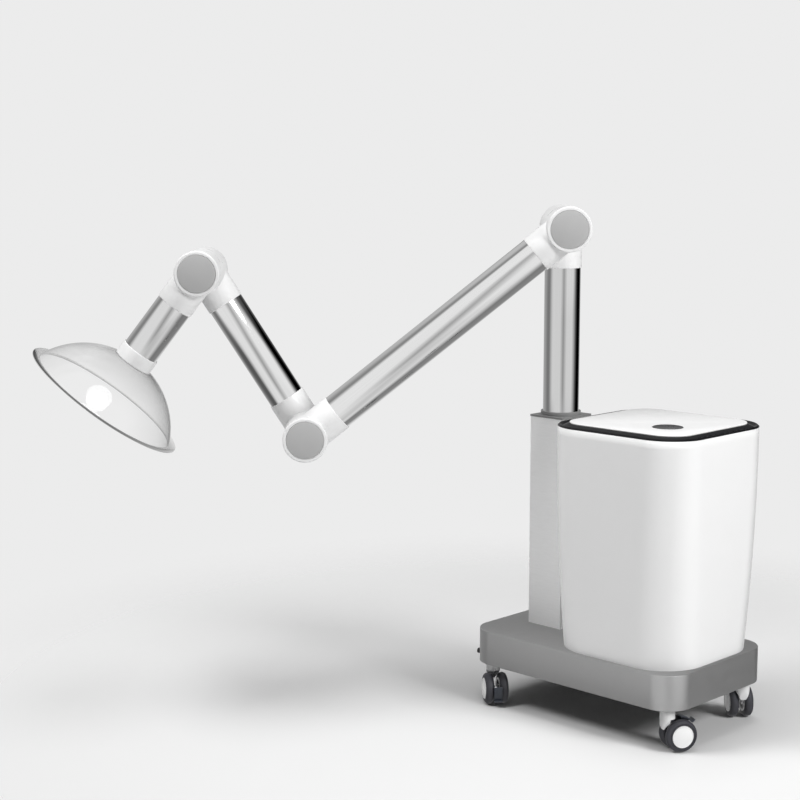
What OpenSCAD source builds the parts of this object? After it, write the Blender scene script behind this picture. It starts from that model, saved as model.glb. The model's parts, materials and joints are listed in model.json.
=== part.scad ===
// Mobile fume extraction arm: a rolling platform carries a filter canister and a
// square air column, and a three-jointed tube arm on the column ends in a clear
// dome hood. Millimetres, +Z up. The origin is on the floor, straight under the
// axis of the upright post. +X runs along the platform towards the canister.

/* [Platform] */
// Ledge of the platform beyond the canister's top edge
deck_margin = 1; // [0.5:0.5:20]
// Height of the platform's side wall
deck_h = 71.5; // [60:0.5:100]
// Radius of the platform's upright corners
deck_corner = 56; // [45:1:75]
// Wall thickness of the platform housing
deck_wall = 3; // [2:0.5:5]
// Bevel along the top edge of the housing
deck_bevel = 0.8; // [0.4:0.1:2]
// Distance from the arm end of the platform to the post's axis
post_inset = 106; // [100:1:130]
// Thickness of the plate that closes the underside
chassis_t = 4; // [3:0.5:8]

/* [Castors] */
// Height of a castor, from the floor to the platform
castor_h = 87; // [84:1:110]
// Radius of a castor wheel
wheel_r = 32.5; // [28:0.5:35]
// Width of one wheel of a castor
wheel_w = 18; // [14:1:22]
// Gap between the two wheels of a castor
wheel_gap = 12; // [12:1:18]
// Distance of the axle behind the swivel axis
trail = 23; // [20:1:28]
// Distance of each swivel axis from the platform's edges
castor_inset = 36.5; // [32:0.5:50]
// Radius of the fork's round head
fork_head_r = 15; // [12:0.5:18]
// Height of the round stem collar above the fork's head
stem_gap = 4; // [3:0.5:8]

/* [Column] */
// Width of the square column along X
column_x = 87; // [84:1:110]
// Width of the square column along Y
column_y = 94; // [88:1:120]
// Height of the column above the platform
column_h = 447; // [380:1:520]
// Wall thickness of the column
column_wall = 2.5; // [1.5:0.1:3]
// Thickness of the flange plate on the column
flange_t = 4; // [3:0.5:8]
// Overhang of the flange plate beyond the column
flange_over = 1; // [0.5:0.5:6]
// Height of the swivel ring on the flange plate
swivel_ring_h = 8; // [5:0.5:14]
// Radius of the swivel ring
swivel_ring_r = 42; // [42:0.5:44]
// Depth of the swivel bush inside the column
bush_depth = 60; // [40:1:90]

/* [Arm] */
// Direction in which the arm points at rest, in degrees from +X
arm_turn = 224.7; // [0:0.1:360]
// Height of the shoulder joint above the floor
shoulder_z = 1002; // [960:1:1200]
// Length of the boom between the shoulder and elbow axes
boom_len = 683.5; // [600:0.5:900]
// Fall of the boom below level at rest, in degrees
boom_fall = 38.7; // [20:0.1:45]
// Length of the forearm between the elbow and wrist axes
forearm_len = 401; // [340:1:600]
// Rise of the forearm above level at rest, in degrees
forearm_rise = 57.6; // [30:0.1:70]
// Fall of the hood tube below level at rest, in degrees
hood_fall = 53; // [40:0.1:70]
// Outer radius of the arm's tubes
tube_r = 37.5; // [36:0.5:37.5]
// Wall thickness of the tubes
tube_wall = 1.5; // [1:0.1:3]

/* [Arm joints] */
// Outer radius of a joint's barrel
barrel_r = 46; // [46:0.5:52]
// Half the length of one joint half along the hinge axis
barrel_half = 45; // [44:0.5:52]
// Wall thickness of the joint halves
barrel_wall = 4; // [3:0.5:5]
// Bevel around the outer face of a joint half
barrel_bevel = 2.5; // [1:0.5:4]
// Distance from the hinge axis to the open end of a tube socket
socket_end = 84; // [80:1:100]
// Outer radius of a tube socket
socket_r = 39.5; // [39:0.5:42]
// Distance from the hinge axis to the end of the tube in its socket
socket_stop = 52; // [50:1:60]
// Radius of the passage from the socket into the barrel
throat_r = 32; // [28:1:33]
// Radius of the grey cap in the face of a joint half
cap_r = 38.5; // [36:0.5:41]
// Thickness of the cap's disc
cap_t = 2.5; // [1.5:0.5:4]
// Height by which the cap stands proud of the barrel
cap_proud = 0.6; // [0.2:0.1:1.5]
// Depth of the recess behind the cap
recess_depth = 8; // [8:0.5:10]
// Radius of the friction spindle
spindle_r = 5; // [4:0.5:6]

/* [Hood] */
// Distance from the wrist axis to the top of the hood collar
collar_top = 200.5; // [180:0.5:260]
// Length of the collar down to the crown of the dome
collar_len = 23.5; // [20:0.5:40]
// Outer radius of the collar
collar_r = 40.8; // [40.5:0.1:46]
// Radius of the dome's sphere
dome_r = 176.5; // [170:0.5:200]
// Depth of the dome from its crown to its rim
dome_depth = 102; // [90:1:120]
// Wall thickness of the clear dome
dome_wall = 3; // [2:0.5:5]
// Radius of the flat flange around the dome's mouth
dome_flange_r = 175.5; // [175:0.5:210]
// Thickness of that flange
dome_flange_t = 2.2; // [1.5:0.1:4]

/* [Canister] */
// Gap between the column and the canister's top edge
canister_gap = 41.5; // [38:0.5:80]
// Half the width of the canister at its top
canister_top_half = 166; // [150:0.5:190]
// Inset of the canister's foot from its top edge
canister_taper = 9; // [6.5:0.5:16]
// Corner radius of the canister at its top
canister_top_corner = 80; // [70:1:90]
// Corner radius of the canister at its foot
canister_foot_corner = 95; // [85:1:105]
// Outward bow of the canister's side at mid height
canister_bow = 3.6; // [0:0.1:6]
// Height of the canister from the platform to the edge of the rim
canister_h = 455; // [420:1:520]
// Wall thickness of the canister
canister_wall = 4; // [3:0.5:6]
// Inset of the lid from the outside of the rim
lid_inset = 24.5; // [20:0.5:30]
// Corner radius of the lid
lid_corner = 54; // [45:1:60]
// Height of the lid's top above the edge of the rim
lid_rise = 7; // [6:0.5:12]
// Thickness of the lid
lid_t = 3; // [2:0.5:4]
// Radius of the round control button
button_r = 30.4; // [20:0.1:34]
// Travel of the control button
button_travel = 1.5; // [1:0.1:3]
// Distance of the button from the lid's centre along X
button_x = 55.5; // [45:0.5:65]
// Distance of the button from the lid's centre along Y, towards the front
button_y = 45.5; // [35:0.5:65]

/* [Filters and fan] */
// Gap between the two filters and the canister's wall at its foot
filter_gap = 23; // [13:1:40]
// Corner radius of the two filters
filter_corner = 60; // [50:1:70]
// Height of the particle filter
particle_h = 92; // [70:1:110]
// Height of the carbon filter
carbon_h = 160; // [120:1:180]
// Radius of the fan's impeller
impeller_r = 92; // [70:1:100]
// Height of the impeller's blades
blade_h = 42; // [30:1:50]
// Number of impeller blades
blade_count = 9; // [7:1:13]
// Radius of the fan's motor
motor_r = 42; // [34:1:46]

/* [Hidden] */
// Gap between a moving piece and what it turns in
run_gap = 0.3;
// Gap around pieces that are fixed in each other
fit_gap = 0.15;
// Overrun of every cut
over = 1;
// Sides of the large round surfaces
$fn = 96;

canister_x = column_x/2 + canister_gap + canister_top_half;
canister_foot_half = canister_top_half - canister_taper;
deck_len = post_inset + canister_x + canister_top_half + deck_margin;
deck_wid = 2*(canister_top_half + deck_margin);
deck_z = castor_h;
deck_top = deck_z + deck_h;
deck_mid_x = deck_len/2 - post_inset;
deck_inner_corner = deck_corner - deck_wall;
chassis_top = deck_z + chassis_t;

// Post and column stack
column_top = deck_top + column_h;
flange_top = column_top + flange_t;
bush_r = tube_r + run_gap;
bush_wall = 3;
bush_lip = 2;
bush_lip_t = 2.5;
bush_floor = column_top - bush_depth;
column_port_r = 36;
column_corner = 1.2;

// Joint axes in the arm's own plane: X outward, Z up, Y across the arm
elbow_x = boom_len*cos(boom_fall);
elbow_z = shoulder_z - boom_len*sin(boom_fall);
wrist_x = elbow_x + forearm_len*cos(forearm_rise);
wrist_z = elbow_z + forearm_len*sin(forearm_rise);
plane_gap = 2*barrel_half;

// Joint halves, measured along the hinge axis from the tube's plane
half_open = barrel_half - run_gap;
recess_floor = barrel_half - recess_depth;
end_wall = 3;
chamber_r = barrel_r - barrel_wall;
spigot_wall = 3;
spigot_len = 10;
spigot_root = 8;
hub_r = 2*spindle_r;
hub_len = 8;
socket_bore_r = tube_r + fit_gap;
cap_skirt = 2.4;
head_r = 9;
head_t = 4;
washer_r = 16;
washer_t = 1.5;
nut_r = 8;
nut_t = 4;

// Hood, measured along the hood tube from the wrist axis
collar_seat = 1.8;
crown = collar_top + collar_len;
dome_centre = crown + dome_r;
dome_mouth = crown + dome_depth;
dome_base_r = sqrt(pow(dome_r, 2) - pow(dome_r - dome_depth, 2));
collar_bore_r = tube_r + run_gap;
neck_r = 32.2;
neck_wall = 3;
neck_out = neck_r + neck_wall;
ring_nut_r = 41.2;
ring_nut_t = 3.5;
hood_tube_end = crown - collar_seat - run_gap;

// Canister and its rim
rim_z = deck_top + canister_h;
rim_t = 9;
rim_lip_t = 1;
rim_foot_z = rim_z - rim_t;
shell_top = rim_z - rim_lip_t;
lid_half = canister_top_half - lid_inset;
lid_top = rim_z + lid_rise;
lid_edge = 1.2;
lid_lift_gap = 0.4;
rim_ridge = 2.6;
rim_dish = 1.6;
// Places across the rim, as shares of the lid's inset
rim_ridge_share = 0.14;
rim_dish_share = 0.45;
rim_back_share = 0.86;
skirt_h = 14;
button_edge = 2;
button_dish = 0.6;
skirt_t = 3;
fan_room = 150;
shelf_z = rim_foot_z - fan_room;
shelf_in = 14;
port_r = 52;
slot_w = 9;
slot_l = 7;
slot_count = 9;
profile_steps = 8;
corner_steps = 10;

// Filters and fan
filter_half = canister_foot_half - canister_wall - filter_gap;
filter_foot = 14;
filter_frame = 8;
pleat_pitch = 20;
pleat_w = 10;
pleat_depth = 12;
filter_hole_r = 11;
filter_hole_pitch = 44;
fan_plate_t = 4;
fan_inlet_r = 56;
fan_nozzle_h = 8;
fan_nozzle_t = 3;
fan_post_r = 5;
fan_post_ring = impeller_r + 18;
fan_bridge_t = 5;
fan_bridge_w = 30;
blade_t = 2.5;
blade_back_t = 3;
shroud_t = 2.5;
impeller_gap = 4;
motor_h = 34;
motor_gap = 5;
shaft_r = 4;
impeller_z = shelf_z + fan_plate_t + fan_nozzle_h;
blade_arc_share = 0.8;
impeller_top = impeller_z + shroud_t + blade_h + blade_back_t;
bridge_z = impeller_top + motor_gap;

// Castors: 0 front, 1 left, 2 right, 3 back
castor_side = [[1, -1], [-1, -1], [1, 1], [-1, 1]];
castor_turn = [60.7, -37.1, 139.1, 100];
fork_top = castor_h - stem_gap;
fork_head_h = 17;
stem_r = 4;
stem_collar_r = 6.6;
stem_pin = 25;
thread_r = 5;
stem_nut_t = 6;
axle_r = 4;
blade_half = wheel_gap/2 - 1;
lug_half = 3;
lug_r = 13;
fin_r = 65;
fin_tuck = 1.3;
fin_x = fin_r - fork_head_r + fin_tuck;
fin_drop = 22;
cheek_gap = 1.5;
cheek_drop = 22;
hub_face_r = 22;
hub_bore_r = axle_r + run_gap;
hub_web = 4;
crown_h = 2.2;
tyre_round = wheel_w/2;
pedal_ring_r = 12.5;
pedal_bridge_r = 16.5;
pedal_tip_r = wheel_r + 1.6;
pedal_t = 3;
pedal_end_r = 43;
pedal_half = 9;
pedal_up = 63;
pedal_down = -6;
pedal_spread = 50;
pedal_neck_spread = 22;
pedal_lip_spread = 5;

// Power inlet in the front corner of the arm end
inlet_r = 5.8;
inlet_bore_r = 3.2;
inlet_out = 7.5;
inlet_in = 14;
inlet_turn = 22;
inlet_up = 13;
inlet_nut_r = 9;
inlet_nut_t = 4;

// Rounded rectangle around the origin
module rounded_rect(size_x, size_y, corner) {
    square([size_x - 2*corner, size_y], center = true);
    square([size_x, size_y - 2*corner], center = true);
    for (side_x = [-1, 1], side_y = [-1, 1])
        translate([side_x*(size_x/2 - corner), side_y*(size_y/2 - corner)]) circle(corner);
}

// Points of a rounded rectangle at height z, anticlockwise from above
function ring_points(half_x, half_y, corner, z) = [
    for (quarter = [0:3], step = [0:corner_steps])
        let (turn = 90*(quarter + step/corner_steps),
             side_x = quarter == 0 || quarter == 3 ? 1 : -1,
             side_y = quarter < 2 ? 1 : -1)
        [side_x*(half_x - corner) + corner*cos(turn),
         side_y*(half_y - corner) + corner*sin(turn),
         z]
];

// Solid through a stack of rings; a closed stack is a ring all the way round
module ring_loft(rings, closed = false) {
    count = len(rings[0]);
    levels = len(rings);
    sides = [
        for (level = [0:levels - (closed ? 1 : 2)], spot = [0:count - 1])
            let (above = (level + 1)%levels,
                 next = (spot + 1)%count,
                 a = level*count + spot,
                 b = level*count + next,
                 c = above*count + spot,
                 d = above*count + next)
            each [[a, c, d], [a, d, b]]
    ];
    bottom = [for (spot = [0:count - 1]) spot];
    top = [for (spot = [count - 1:-1:0]) (levels - 1)*count + spot];
    polyhedron([for (ring = rings) each ring],
               faces = closed ? sides : concat(sides, [bottom, top]));
}

// Places in the arm
module arm_plane() {
    rotate([0, 0, arm_turn]) children();
}

module at_shoulder() {
    arm_plane() translate([0, 0, shoulder_z]) children();
}

module at_elbow() {
    arm_plane() translate([elbow_x, 0, elbow_z]) children();
}

module at_wrist() {
    arm_plane() translate([wrist_x, 0, wrist_z]) children();
}

// Turns +Z to a direction in the arm's plane, given as its rise above level
module aim(rise) {
    rotate([0, 90 - rise, 0]) children();
}

// Turns +Z to the hinge axis
module on_hinge() {
    rotate([-90, 0, 0]) children();
}

// Moves a joint's rear piece to the front side, face to face with the rear one
module front_side() {
    translate([0, plane_gap, 0]) mirror([0, 1, 0]) children();
}

// Half of a joint: a barrel on the hinge axis with a radial socket for a tube
module joint_half(rise, spigot, hub_gap) {
    difference() {
        union() {
            on_hinge() rotate_extrude() polygon([
                [0, -barrel_half],
                [barrel_r - barrel_bevel, -barrel_half],
                [barrel_r, barrel_bevel - barrel_half],
                [barrel_r, half_open],
                [0, half_open]
            ]);
            aim(rise) cylinder(h = socket_end, r = socket_r);
        }
        on_hinge() translate([0, 0, -barrel_half - over])
            cylinder(h = recess_depth + over, r = cap_r + run_gap);
        on_hinge() translate([0, 0, end_wall - recess_floor])
            cylinder(h = recess_floor - end_wall + half_open + over, r = chamber_r);
        on_hinge() translate([0, 0, -barrel_half])
            cylinder(h = barrel_half, r = spindle_r + hub_gap);
        aim(rise) translate([0, 0, chamber_r - barrel_wall])
            cylinder(h = socket_end, r = throat_r);
        aim(rise) translate([0, 0, socket_stop])
            cylinder(h = socket_end, r = socket_bore_r);
    }
    on_hinge() translate([0, 0, end_wall - recess_floor - over]) difference() {
        cylinder(h = hub_len + over, r = hub_r);
        translate([0, 0, -over]) cylinder(h = hub_len + 3*over, r = spindle_r + hub_gap);
    }
    if (spigot) on_hinge() rotate_extrude() difference() {
        translate([chamber_r - run_gap - spigot_wall, half_open - spigot_root])
            square([spigot_wall + run_gap + over, spigot_root + spigot_len]);
        translate([chamber_r - run_gap, half_open])
            square([spigot_wall + over, spigot_len + over]);
    }
}

module rear_half(rise) {
    color("white") joint_half(rise, false, fit_gap);
}

module front_half(rise) {
    color("white") front_side() joint_half(rise, true, run_gap);
}

// Cap of a joint half: a disc with a skirt that stands on the recess's floor
module joint_cap() {
    color("darkgray") on_hinge() rotate_extrude() difference() {
        translate([0, -barrel_half - cap_proud])
            square([cap_r, recess_depth + cap_proud]);
        translate([-over, cap_t - barrel_half - cap_proud])
            square([cap_r - cap_skirt + over, recess_depth]);
    }
}

// Friction spindle: a bolt through both halves, a washer and a nut
module joint_spindle() {
    bolt_end = plane_gap + recess_floor + washer_t + nut_t;
    color("silver") on_hinge() {
        translate([0, 0, -recess_floor - head_t]) cylinder(h = head_t, r = head_r);
        translate([0, 0, -recess_floor]) cylinder(h = recess_floor + bolt_end, r = spindle_r);
        translate([0, 0, plane_gap + recess_floor]) difference() {
            cylinder(h = washer_t, r = washer_r);
            translate([0, 0, -over]) cylinder(h = washer_t + 2*over, r = spindle_r + fit_gap);
        }
        translate([0, 0, plane_gap + recess_floor + washer_t]) difference() {
            cylinder(h = nut_t, r = nut_r, $fn = 6);
            translate([0, 0, -over]) cylinder(h = nut_t + 2*over, r = spindle_r + fit_gap);
        }
    }
}

// Round tube along +Z from one distance to another
module pipe(from, to) {
    translate([0, 0, from]) difference() {
        cylinder(h = to - from, r = tube_r);
        translate([0, 0, -over]) cylinder(h = to - from + 2*over, r = tube_r - tube_wall);
    }
}

module post_tube() {
    color("silver") translate([0, 0, bush_floor + bush_lip_t + run_gap])
        pipe(0, shoulder_z - socket_stop - bush_floor - bush_lip_t - run_gap);
}

module boom_tube() {
    color("silver") at_shoulder() translate([0, plane_gap, 0]) aim(-boom_fall)
        pipe(socket_stop, boom_len - socket_stop);
}

module forearm_tube() {
    color("silver") at_elbow() aim(forearm_rise) pipe(socket_stop, forearm_len - socket_stop);
}

module at_hood() {
    at_wrist() translate([0, plane_gap, 0]) aim(-hood_fall) children();
}

module hood_tube() {
    color("silver") at_hood() pipe(socket_stop, hood_tube_end);
}

// Collar: a sleeve on the tube, a neck through the dome and a nut ring inside it
module hood_collar() {
    color("white") at_hood() rotate_extrude() {
        difference() {
            translate([neck_r, collar_top])
                square([collar_r - neck_r, collar_len + dome_wall*2]);
            translate([neck_r - over, collar_top - over])
                square([collar_bore_r - neck_r + over, collar_len - collar_seat + over]);
            translate([0, dome_centre]) circle(dome_r + fit_gap, $fn = 4*$fn);
        }
        translate([neck_r, crown - collar_seat])
            square([neck_wall - fit_gap, collar_seat + dome_wall + ring_nut_t]);
        intersection() {
            translate([neck_r, crown])
                square([ring_nut_r - neck_r, dome_wall + ring_nut_t]);
            translate([0, dome_centre]) circle(dome_r - dome_wall - fit_gap, $fn = 4*$fn);
        }
    }
}

// Clear dome: a cap of a sphere with a hole for the neck and a flat flange
module hood_dome() {
    color("lightcyan", 0.4) at_hood() rotate_extrude() {
        intersection() {
            difference() {
                translate([0, dome_centre]) circle(dome_r, $fn = 4*$fn);
                translate([0, dome_centre]) circle(dome_r - dome_wall, $fn = 4*$fn);
            }
            translate([neck_out, crown - over])
                square([dome_r, dome_depth + over + dome_flange_t]);
        }
        translate([dome_base_r - dome_wall, dome_mouth])
            square([dome_flange_r - dome_base_r + dome_wall, dome_flange_t]);
    }
}

module column() {
    color("lightgray") translate([0, 0, deck_top]) linear_extrude(column_h) difference() {
        rounded_rect(column_x, column_y, column_corner);
        square([column_x - 2*column_wall, column_y - 2*column_wall], center = true);
    }
}

module flange_plate() {
    color("gray") translate([0, 0, column_top]) linear_extrude(flange_t) difference() {
        rounded_rect(column_x + 2*flange_over, column_y + 2*flange_over, column_corner);
        circle(bush_r + bush_wall + fit_gap);
    }
}

// Bush that the post turns in: a ring on the flange plate, a barrel in the
// column and a lip that carries the post's foot
module swivel_bush() {
    color("darkgray") rotate_extrude() {
        translate([bush_r, bush_floor])
            square([bush_wall, flange_top + swivel_ring_h - bush_floor]);
        translate([bush_r, flange_top]) square([swivel_ring_r - bush_r, swivel_ring_h]);
        translate([bush_r - bush_lip - run_gap, bush_floor])
            square([bush_lip + bush_wall + run_gap, bush_lip_t]);
    }
}

// Platform housing: a moulded tray upside down, with the two air ports in its
// top and the hole for the power inlet
module platform_housing() {
    half_x = deck_len/2;
    half_y = deck_wid/2;
    inner_x = half_x - deck_wall;
    inner_y = half_y - deck_wall;
    color("gray") difference() {
        translate([deck_mid_x, 0, 0]) ring_loft([
            ring_points(inner_x, inner_y, deck_inner_corner, deck_top - deck_wall),
            ring_points(inner_x, inner_y, deck_inner_corner, deck_z),
            ring_points(half_x, half_y, deck_corner, deck_z),
            ring_points(half_x, half_y, deck_corner, deck_top - deck_bevel),
            ring_points(half_x - deck_bevel, half_y - deck_bevel,
                        deck_corner - deck_bevel, deck_top)
        ]);
        translate([0, 0, deck_top - deck_wall - over])
            cylinder(h = deck_wall + 2*over, r = column_port_r);
        translate([canister_x, 0, deck_top - deck_wall - over])
            cylinder(h = deck_wall + 2*over, r = port_r);
        inlet_axis() translate([0, 0, -inlet_in])
            cylinder(h = inlet_in + inlet_out + over, r = inlet_r + fit_gap);
    }
}

// Place of the power inlet: +Z points out of the arm end
module inlet_axis() {
    corner_y = deck_wid/2 - deck_corner;
    translate([deck_corner - post_inset - deck_corner*cos(inlet_turn),
               -corner_y - deck_corner*sin(inlet_turn),
               deck_z + inlet_up]) rotate([0, -90, 0]) children();
}

module power_inlet() {
    color("#1c1c1c") inlet_axis() difference() {
        union() {
            translate([0, 0, -inlet_in]) cylinder(h = inlet_in + inlet_out, r = inlet_r);
            translate([0, 0, -inlet_in]) cylinder(h = inlet_nut_t, r = inlet_nut_r, $fn = 6);
        }
        translate([0, 0, -inlet_in - over])
            cylinder(h = inlet_in + inlet_out + 2*over, r = inlet_bore_r);
    }
}

module chassis_plate() {
    color("#2a2a2a") translate([deck_mid_x, 0, deck_z]) linear_extrude(chassis_t) difference() {
        rounded_rect(deck_len - 2*deck_wall - 2*fit_gap, deck_wid - 2*deck_wall - 2*fit_gap,
                     deck_inner_corner - fit_gap);
        for (side = castor_side)
            translate([side[0]*(deck_len/2 - castor_inset), side[1]*(deck_wid/2 - castor_inset)])
                circle(thread_r + fit_gap);
    }
}

// Duct from the foot of the column to the foot of the canister: an open trough
// with round ends that the housing's top closes
module air_duct() {
    wall = deck_wall;
    trough = deck_top - deck_wall - chassis_top;
    color("dimgray") translate([0, 0, chassis_top]) difference() {
        linear_extrude(trough) duct_outline(port_r + 2*wall);
        translate([0, 0, wall]) linear_extrude(trough) duct_outline(port_r + wall);
    }
}

module duct_outline(radius) {
    circle(radius);
    translate([0, -radius]) square([canister_x, 2*radius]);
    translate([canister_x, 0]) circle(radius);
}

// Place of one castor: the origin is under its swivel axis, +X trails
module at_castor(index) {
    side = castor_side[index];
    translate([deck_mid_x + side[0]*(deck_len/2 - castor_inset),
               side[1]*(deck_wid/2 - castor_inset),
               0]) rotate([0, 0, castor_turn[index]]) children();
}

module castor_stems() {
    color("silver") for (index = [0:3]) at_castor(index) {
        translate([0, 0, fork_top - stem_pin]) cylinder(h = stem_pin + stem_gap, r = stem_r);
        translate([0, 0, fork_top]) cylinder(h = stem_gap, r = stem_collar_r);
        translate([0, 0, castor_h]) cylinder(h = chassis_t + stem_nut_t + over, r = thread_r);
        translate([0, 0, chassis_top]) cylinder(h = stem_nut_t, r = nut_r, $fn = 6);
    }
}

// Turns a castor's outline in X and Z into a plate across the axle
module across(half) {
    rotate([90, 0, 0]) linear_extrude(2*half, center = true) children();
}

// Round head of a fork, which narrows in front of the wheels
module fork_head() {
    head_z = fork_top - fork_head_h;
    foot_z = head_z - cheek_drop;
    foot_x = fin_x - sqrt(pow(fin_r, 2) - pow(cheek_drop, 2)) - 2*run_gap;
    foot_y = blade_half + run_gap;
    wide = 2*fork_head_r;
    difference() {
        translate([0, 0, foot_z]) cylinder(h = fork_head_h + cheek_drop, r = fork_head_r);
        across(wide) {
            translate([0, foot_z - over]) square([wide, cheek_drop + over]);
            translate([trail, wheel_r]) circle(wheel_r + cheek_gap);
            polygon([
                [-fork_head_r - over, head_z],
                [foot_x, foot_z],
                [foot_x, foot_z - over],
                [-wide, foot_z - over],
                [-wide, head_z]
            ]);
        }
        translate([-wide, 0, 0]) rotate([90, 0, 90]) linear_extrude(2*wide) for (side = [-1, 1])
            polygon([
                [side*(fork_head_r + over), head_z],
                [side*foot_y, foot_z],
                [side*foot_y, foot_z - over],
                [side*wide, foot_z - over],
                [side*wide, head_z]
            ]);
    }
}

// Fork: its head on the stem, a fin between the wheels, and the axle itself
module castor_fork(index) {
    head_z = fork_top - fork_head_h;
    at_castor(index) {
        color("gainsboro") difference() {
            union() {
                fork_head();
                across(blade_half) intersection() {
                    polygon([
                        [-fork_head_r, head_z + over],
                        [fork_head_r, head_z + over],
                        [trail, wheel_r + lug_r],
                        [trail, wheel_r - fin_drop],
                        [-fork_head_r, wheel_r - fin_drop]
                    ]);
                    translate([fin_x, head_z]) circle(fin_r, $fn = 2*$fn);
                }
                across(lug_half) translate([trail, wheel_r]) circle(lug_r);
            }
            for (side = [-1, 1]) translate([trail, side*(lug_half + blade_half), wheel_r])
                rotate([90, 0, 0]) cylinder(h = 2*blade_half, r = lug_r + over, center = true);
            translate([0, 0, fork_top - stem_pin - over])
                cylinder(h = stem_pin + 2*over, r = stem_r + run_gap);
            translate([trail, 0, wheel_r]) rotate([90, 0, 0])
                cylinder(h = wheel_gap, r = axle_r + fit_gap, center = true);
        }
        color("silver") translate([trail, 0, wheel_r]) rotate([90, 0, 0])
            cylinder(h = wheel_gap + 2*wheel_w - 2*hub_web, r = axle_r, center = true);
    }
}

// Place of one wheel: +Z points out of the castor along the axle
module at_wheel(index, side) {
    at_castor(index) translate([trail, side*wheel_gap/2, wheel_r])
        rotate([-side*90, 0, 0]) children();
}

module castor_tyre(index, side) {
    color("#3c3c42") at_wheel(index, side) rotate_extrude() intersection() {
        translate([hub_face_r + fit_gap, 0])
            square([wheel_r - hub_face_r + over, wheel_w]);
        union() {
            translate([wheel_r - tyre_round, tyre_round]) circle(tyre_round);
            square([wheel_r - tyre_round, wheel_w]);
        }
    }
}

// Hub: a hollow disc with a sleeve on the axle and a crowned outer face
module castor_hub(index, side) {
    rim = hub_face_r - hub_web;
    crown_r = (pow(hub_face_r, 2) + pow(crown_h, 2))/(2*crown_h);
    color("whitesmoke") at_wheel(index, side) rotate_extrude() difference() {
        union() {
            square([hub_face_r, wheel_w]);
            intersection() {
                translate([0, wheel_w]) square([hub_face_r, crown_h]);
                translate([0, wheel_w + crown_h - crown_r]) circle(crown_r, $fn = 4*$fn);
            }
        }
        translate([-over, -over]) square([hub_bore_r + over, wheel_w - hub_web + over + run_gap]);
        translate([hub_bore_r + hub_web, -over])
            square([rim - hub_bore_r - hub_web, wheel_w - hub_web + over]);
    }
}

// Annular sector in X and Z around the axle
module sector(inner, outer, spread) {
    intersection() {
        difference() {
            circle(outer);
            circle(inner);
        }
        polygon([
            [0, 0],
            [2*outer, -2*outer*tan(spread/2)],
            [2*outer, 2*outer*tan(spread/2)]
        ]);
    }
}

// Brake pedal: two cheeks on the axle, a bridge behind the fork, and a wide
// curved panel over the wheels with a lip for the toe
module castor_pedal(index, rise) {
    lug_gap = lug_half + run_gap;
    color("#3a3d44") at_castor(index) translate([trail, 0, wheel_r]) rotate([0, -rise, 0])
        difference() {
            union() {
                across(blade_half + run_gap) {
                    circle(pedal_ring_r);
                    sector(0, pedal_tip_r + over, pedal_neck_spread);
                }
                across(pedal_half) {
                    sector(pedal_tip_r, pedal_tip_r + pedal_t, pedal_spread);
                    rotate((pedal_lip_spread - pedal_spread)/2)
                        sector(pedal_tip_r, pedal_end_r, pedal_lip_spread);
                }
            }
            across(lug_gap) circle(pedal_bridge_r);
            across(pedal_half) circle(axle_r + run_gap);
        }
}

// Half width, corner and height of the canister at a share of its height
function canister_half(share) =
    canister_foot_half + (canister_top_half - canister_foot_half)*share
    + 4*canister_bow*share*(1 - share);

function canister_corner(share) =
    canister_foot_corner + (canister_top_corner - canister_foot_corner)*share;

function canister_ring(share, inset, z) =
    ring_points(canister_half(share) - inset, canister_half(share) - inset,
                canister_corner(share) - inset, z);

function share_at(z) = (z - deck_top)/canister_h;

// Canister shell: a bowed tub with an air port in its floor and an inner ledge
// that carries the fan
module canister_shell() {
    ledge_low = shelf_z - shelf_in;
    outer = [
        for (step = [0:profile_steps])
            let (z = deck_top + (shell_top - deck_top)*step/profile_steps)
            canister_ring(share_at(z), 0, z)
    ];
    inner = [
        canister_ring(share_at(shell_top), canister_wall, shell_top),
        canister_ring(share_at(shelf_z), canister_wall, shelf_z),
        canister_ring(share_at(shelf_z), shelf_in, shelf_z),
        canister_ring(share_at(ledge_low), canister_wall, ledge_low),
        canister_ring(0, canister_wall, deck_top + canister_wall)
    ];
    color("white") translate([canister_x, 0, 0]) difference() {
        ring_loft(concat(outer, inner));
        translate([0, 0, deck_top - over])
            cylinder(h = canister_wall + 2*over, r = port_r);
    }
}

// Ring of the rim at an inset from the canister's outside
function rim_ring(inset, z) =
    ring_points(canister_top_half - inset, canister_top_half - inset,
                canister_top_corner - inset*(canister_top_corner - lid_corner)/lid_inset, z);

// Rim: a black frame in the shell's mouth with a thin lip on its edge, a dished
// gutter with the outlet slots between two ridges, and a step for the lid
module canister_rim() {
    slot_run = 2*(canister_top_half - canister_top_corner);
    plug_inset = canister_wall + 2*run_gap;
    step_z = lid_top - lid_t - lid_lift_gap;
    color("#1a1a1a") translate([canister_x, 0, 0]) difference() {
        ring_loft([
            rim_ring(0, shell_top),
            rim_ring(0, rim_z),
            rim_ring(lid_inset*rim_ridge_share, rim_z + rim_ridge),
            rim_ring(lid_inset*rim_dish_share, rim_z - rim_dish),
            rim_ring(lid_inset*rim_back_share, rim_z + rim_ridge),
            rim_ring(lid_inset - run_gap, step_z),
            rim_ring(lid_inset + skirt_t + run_gap, step_z),
            rim_ring(lid_inset + skirt_t + run_gap, rim_foot_z),
            rim_ring(plug_inset, rim_foot_z),
            rim_ring(plug_inset, shell_top)
        ], closed = true);
        for (turn = [0:90:270], spot = [0:slot_count - 1])
            rotate([0, 0, turn])
                translate([canister_top_half - lid_inset*rim_dish_share - slot_w/2,
                           (spot + 1/2)*slot_run/slot_count - slot_run/2 - slot_l/2,
                           rim_foot_z - over])
                    cube([slot_w, slot_l, rim_t + 2*over]);
    }
}

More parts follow.
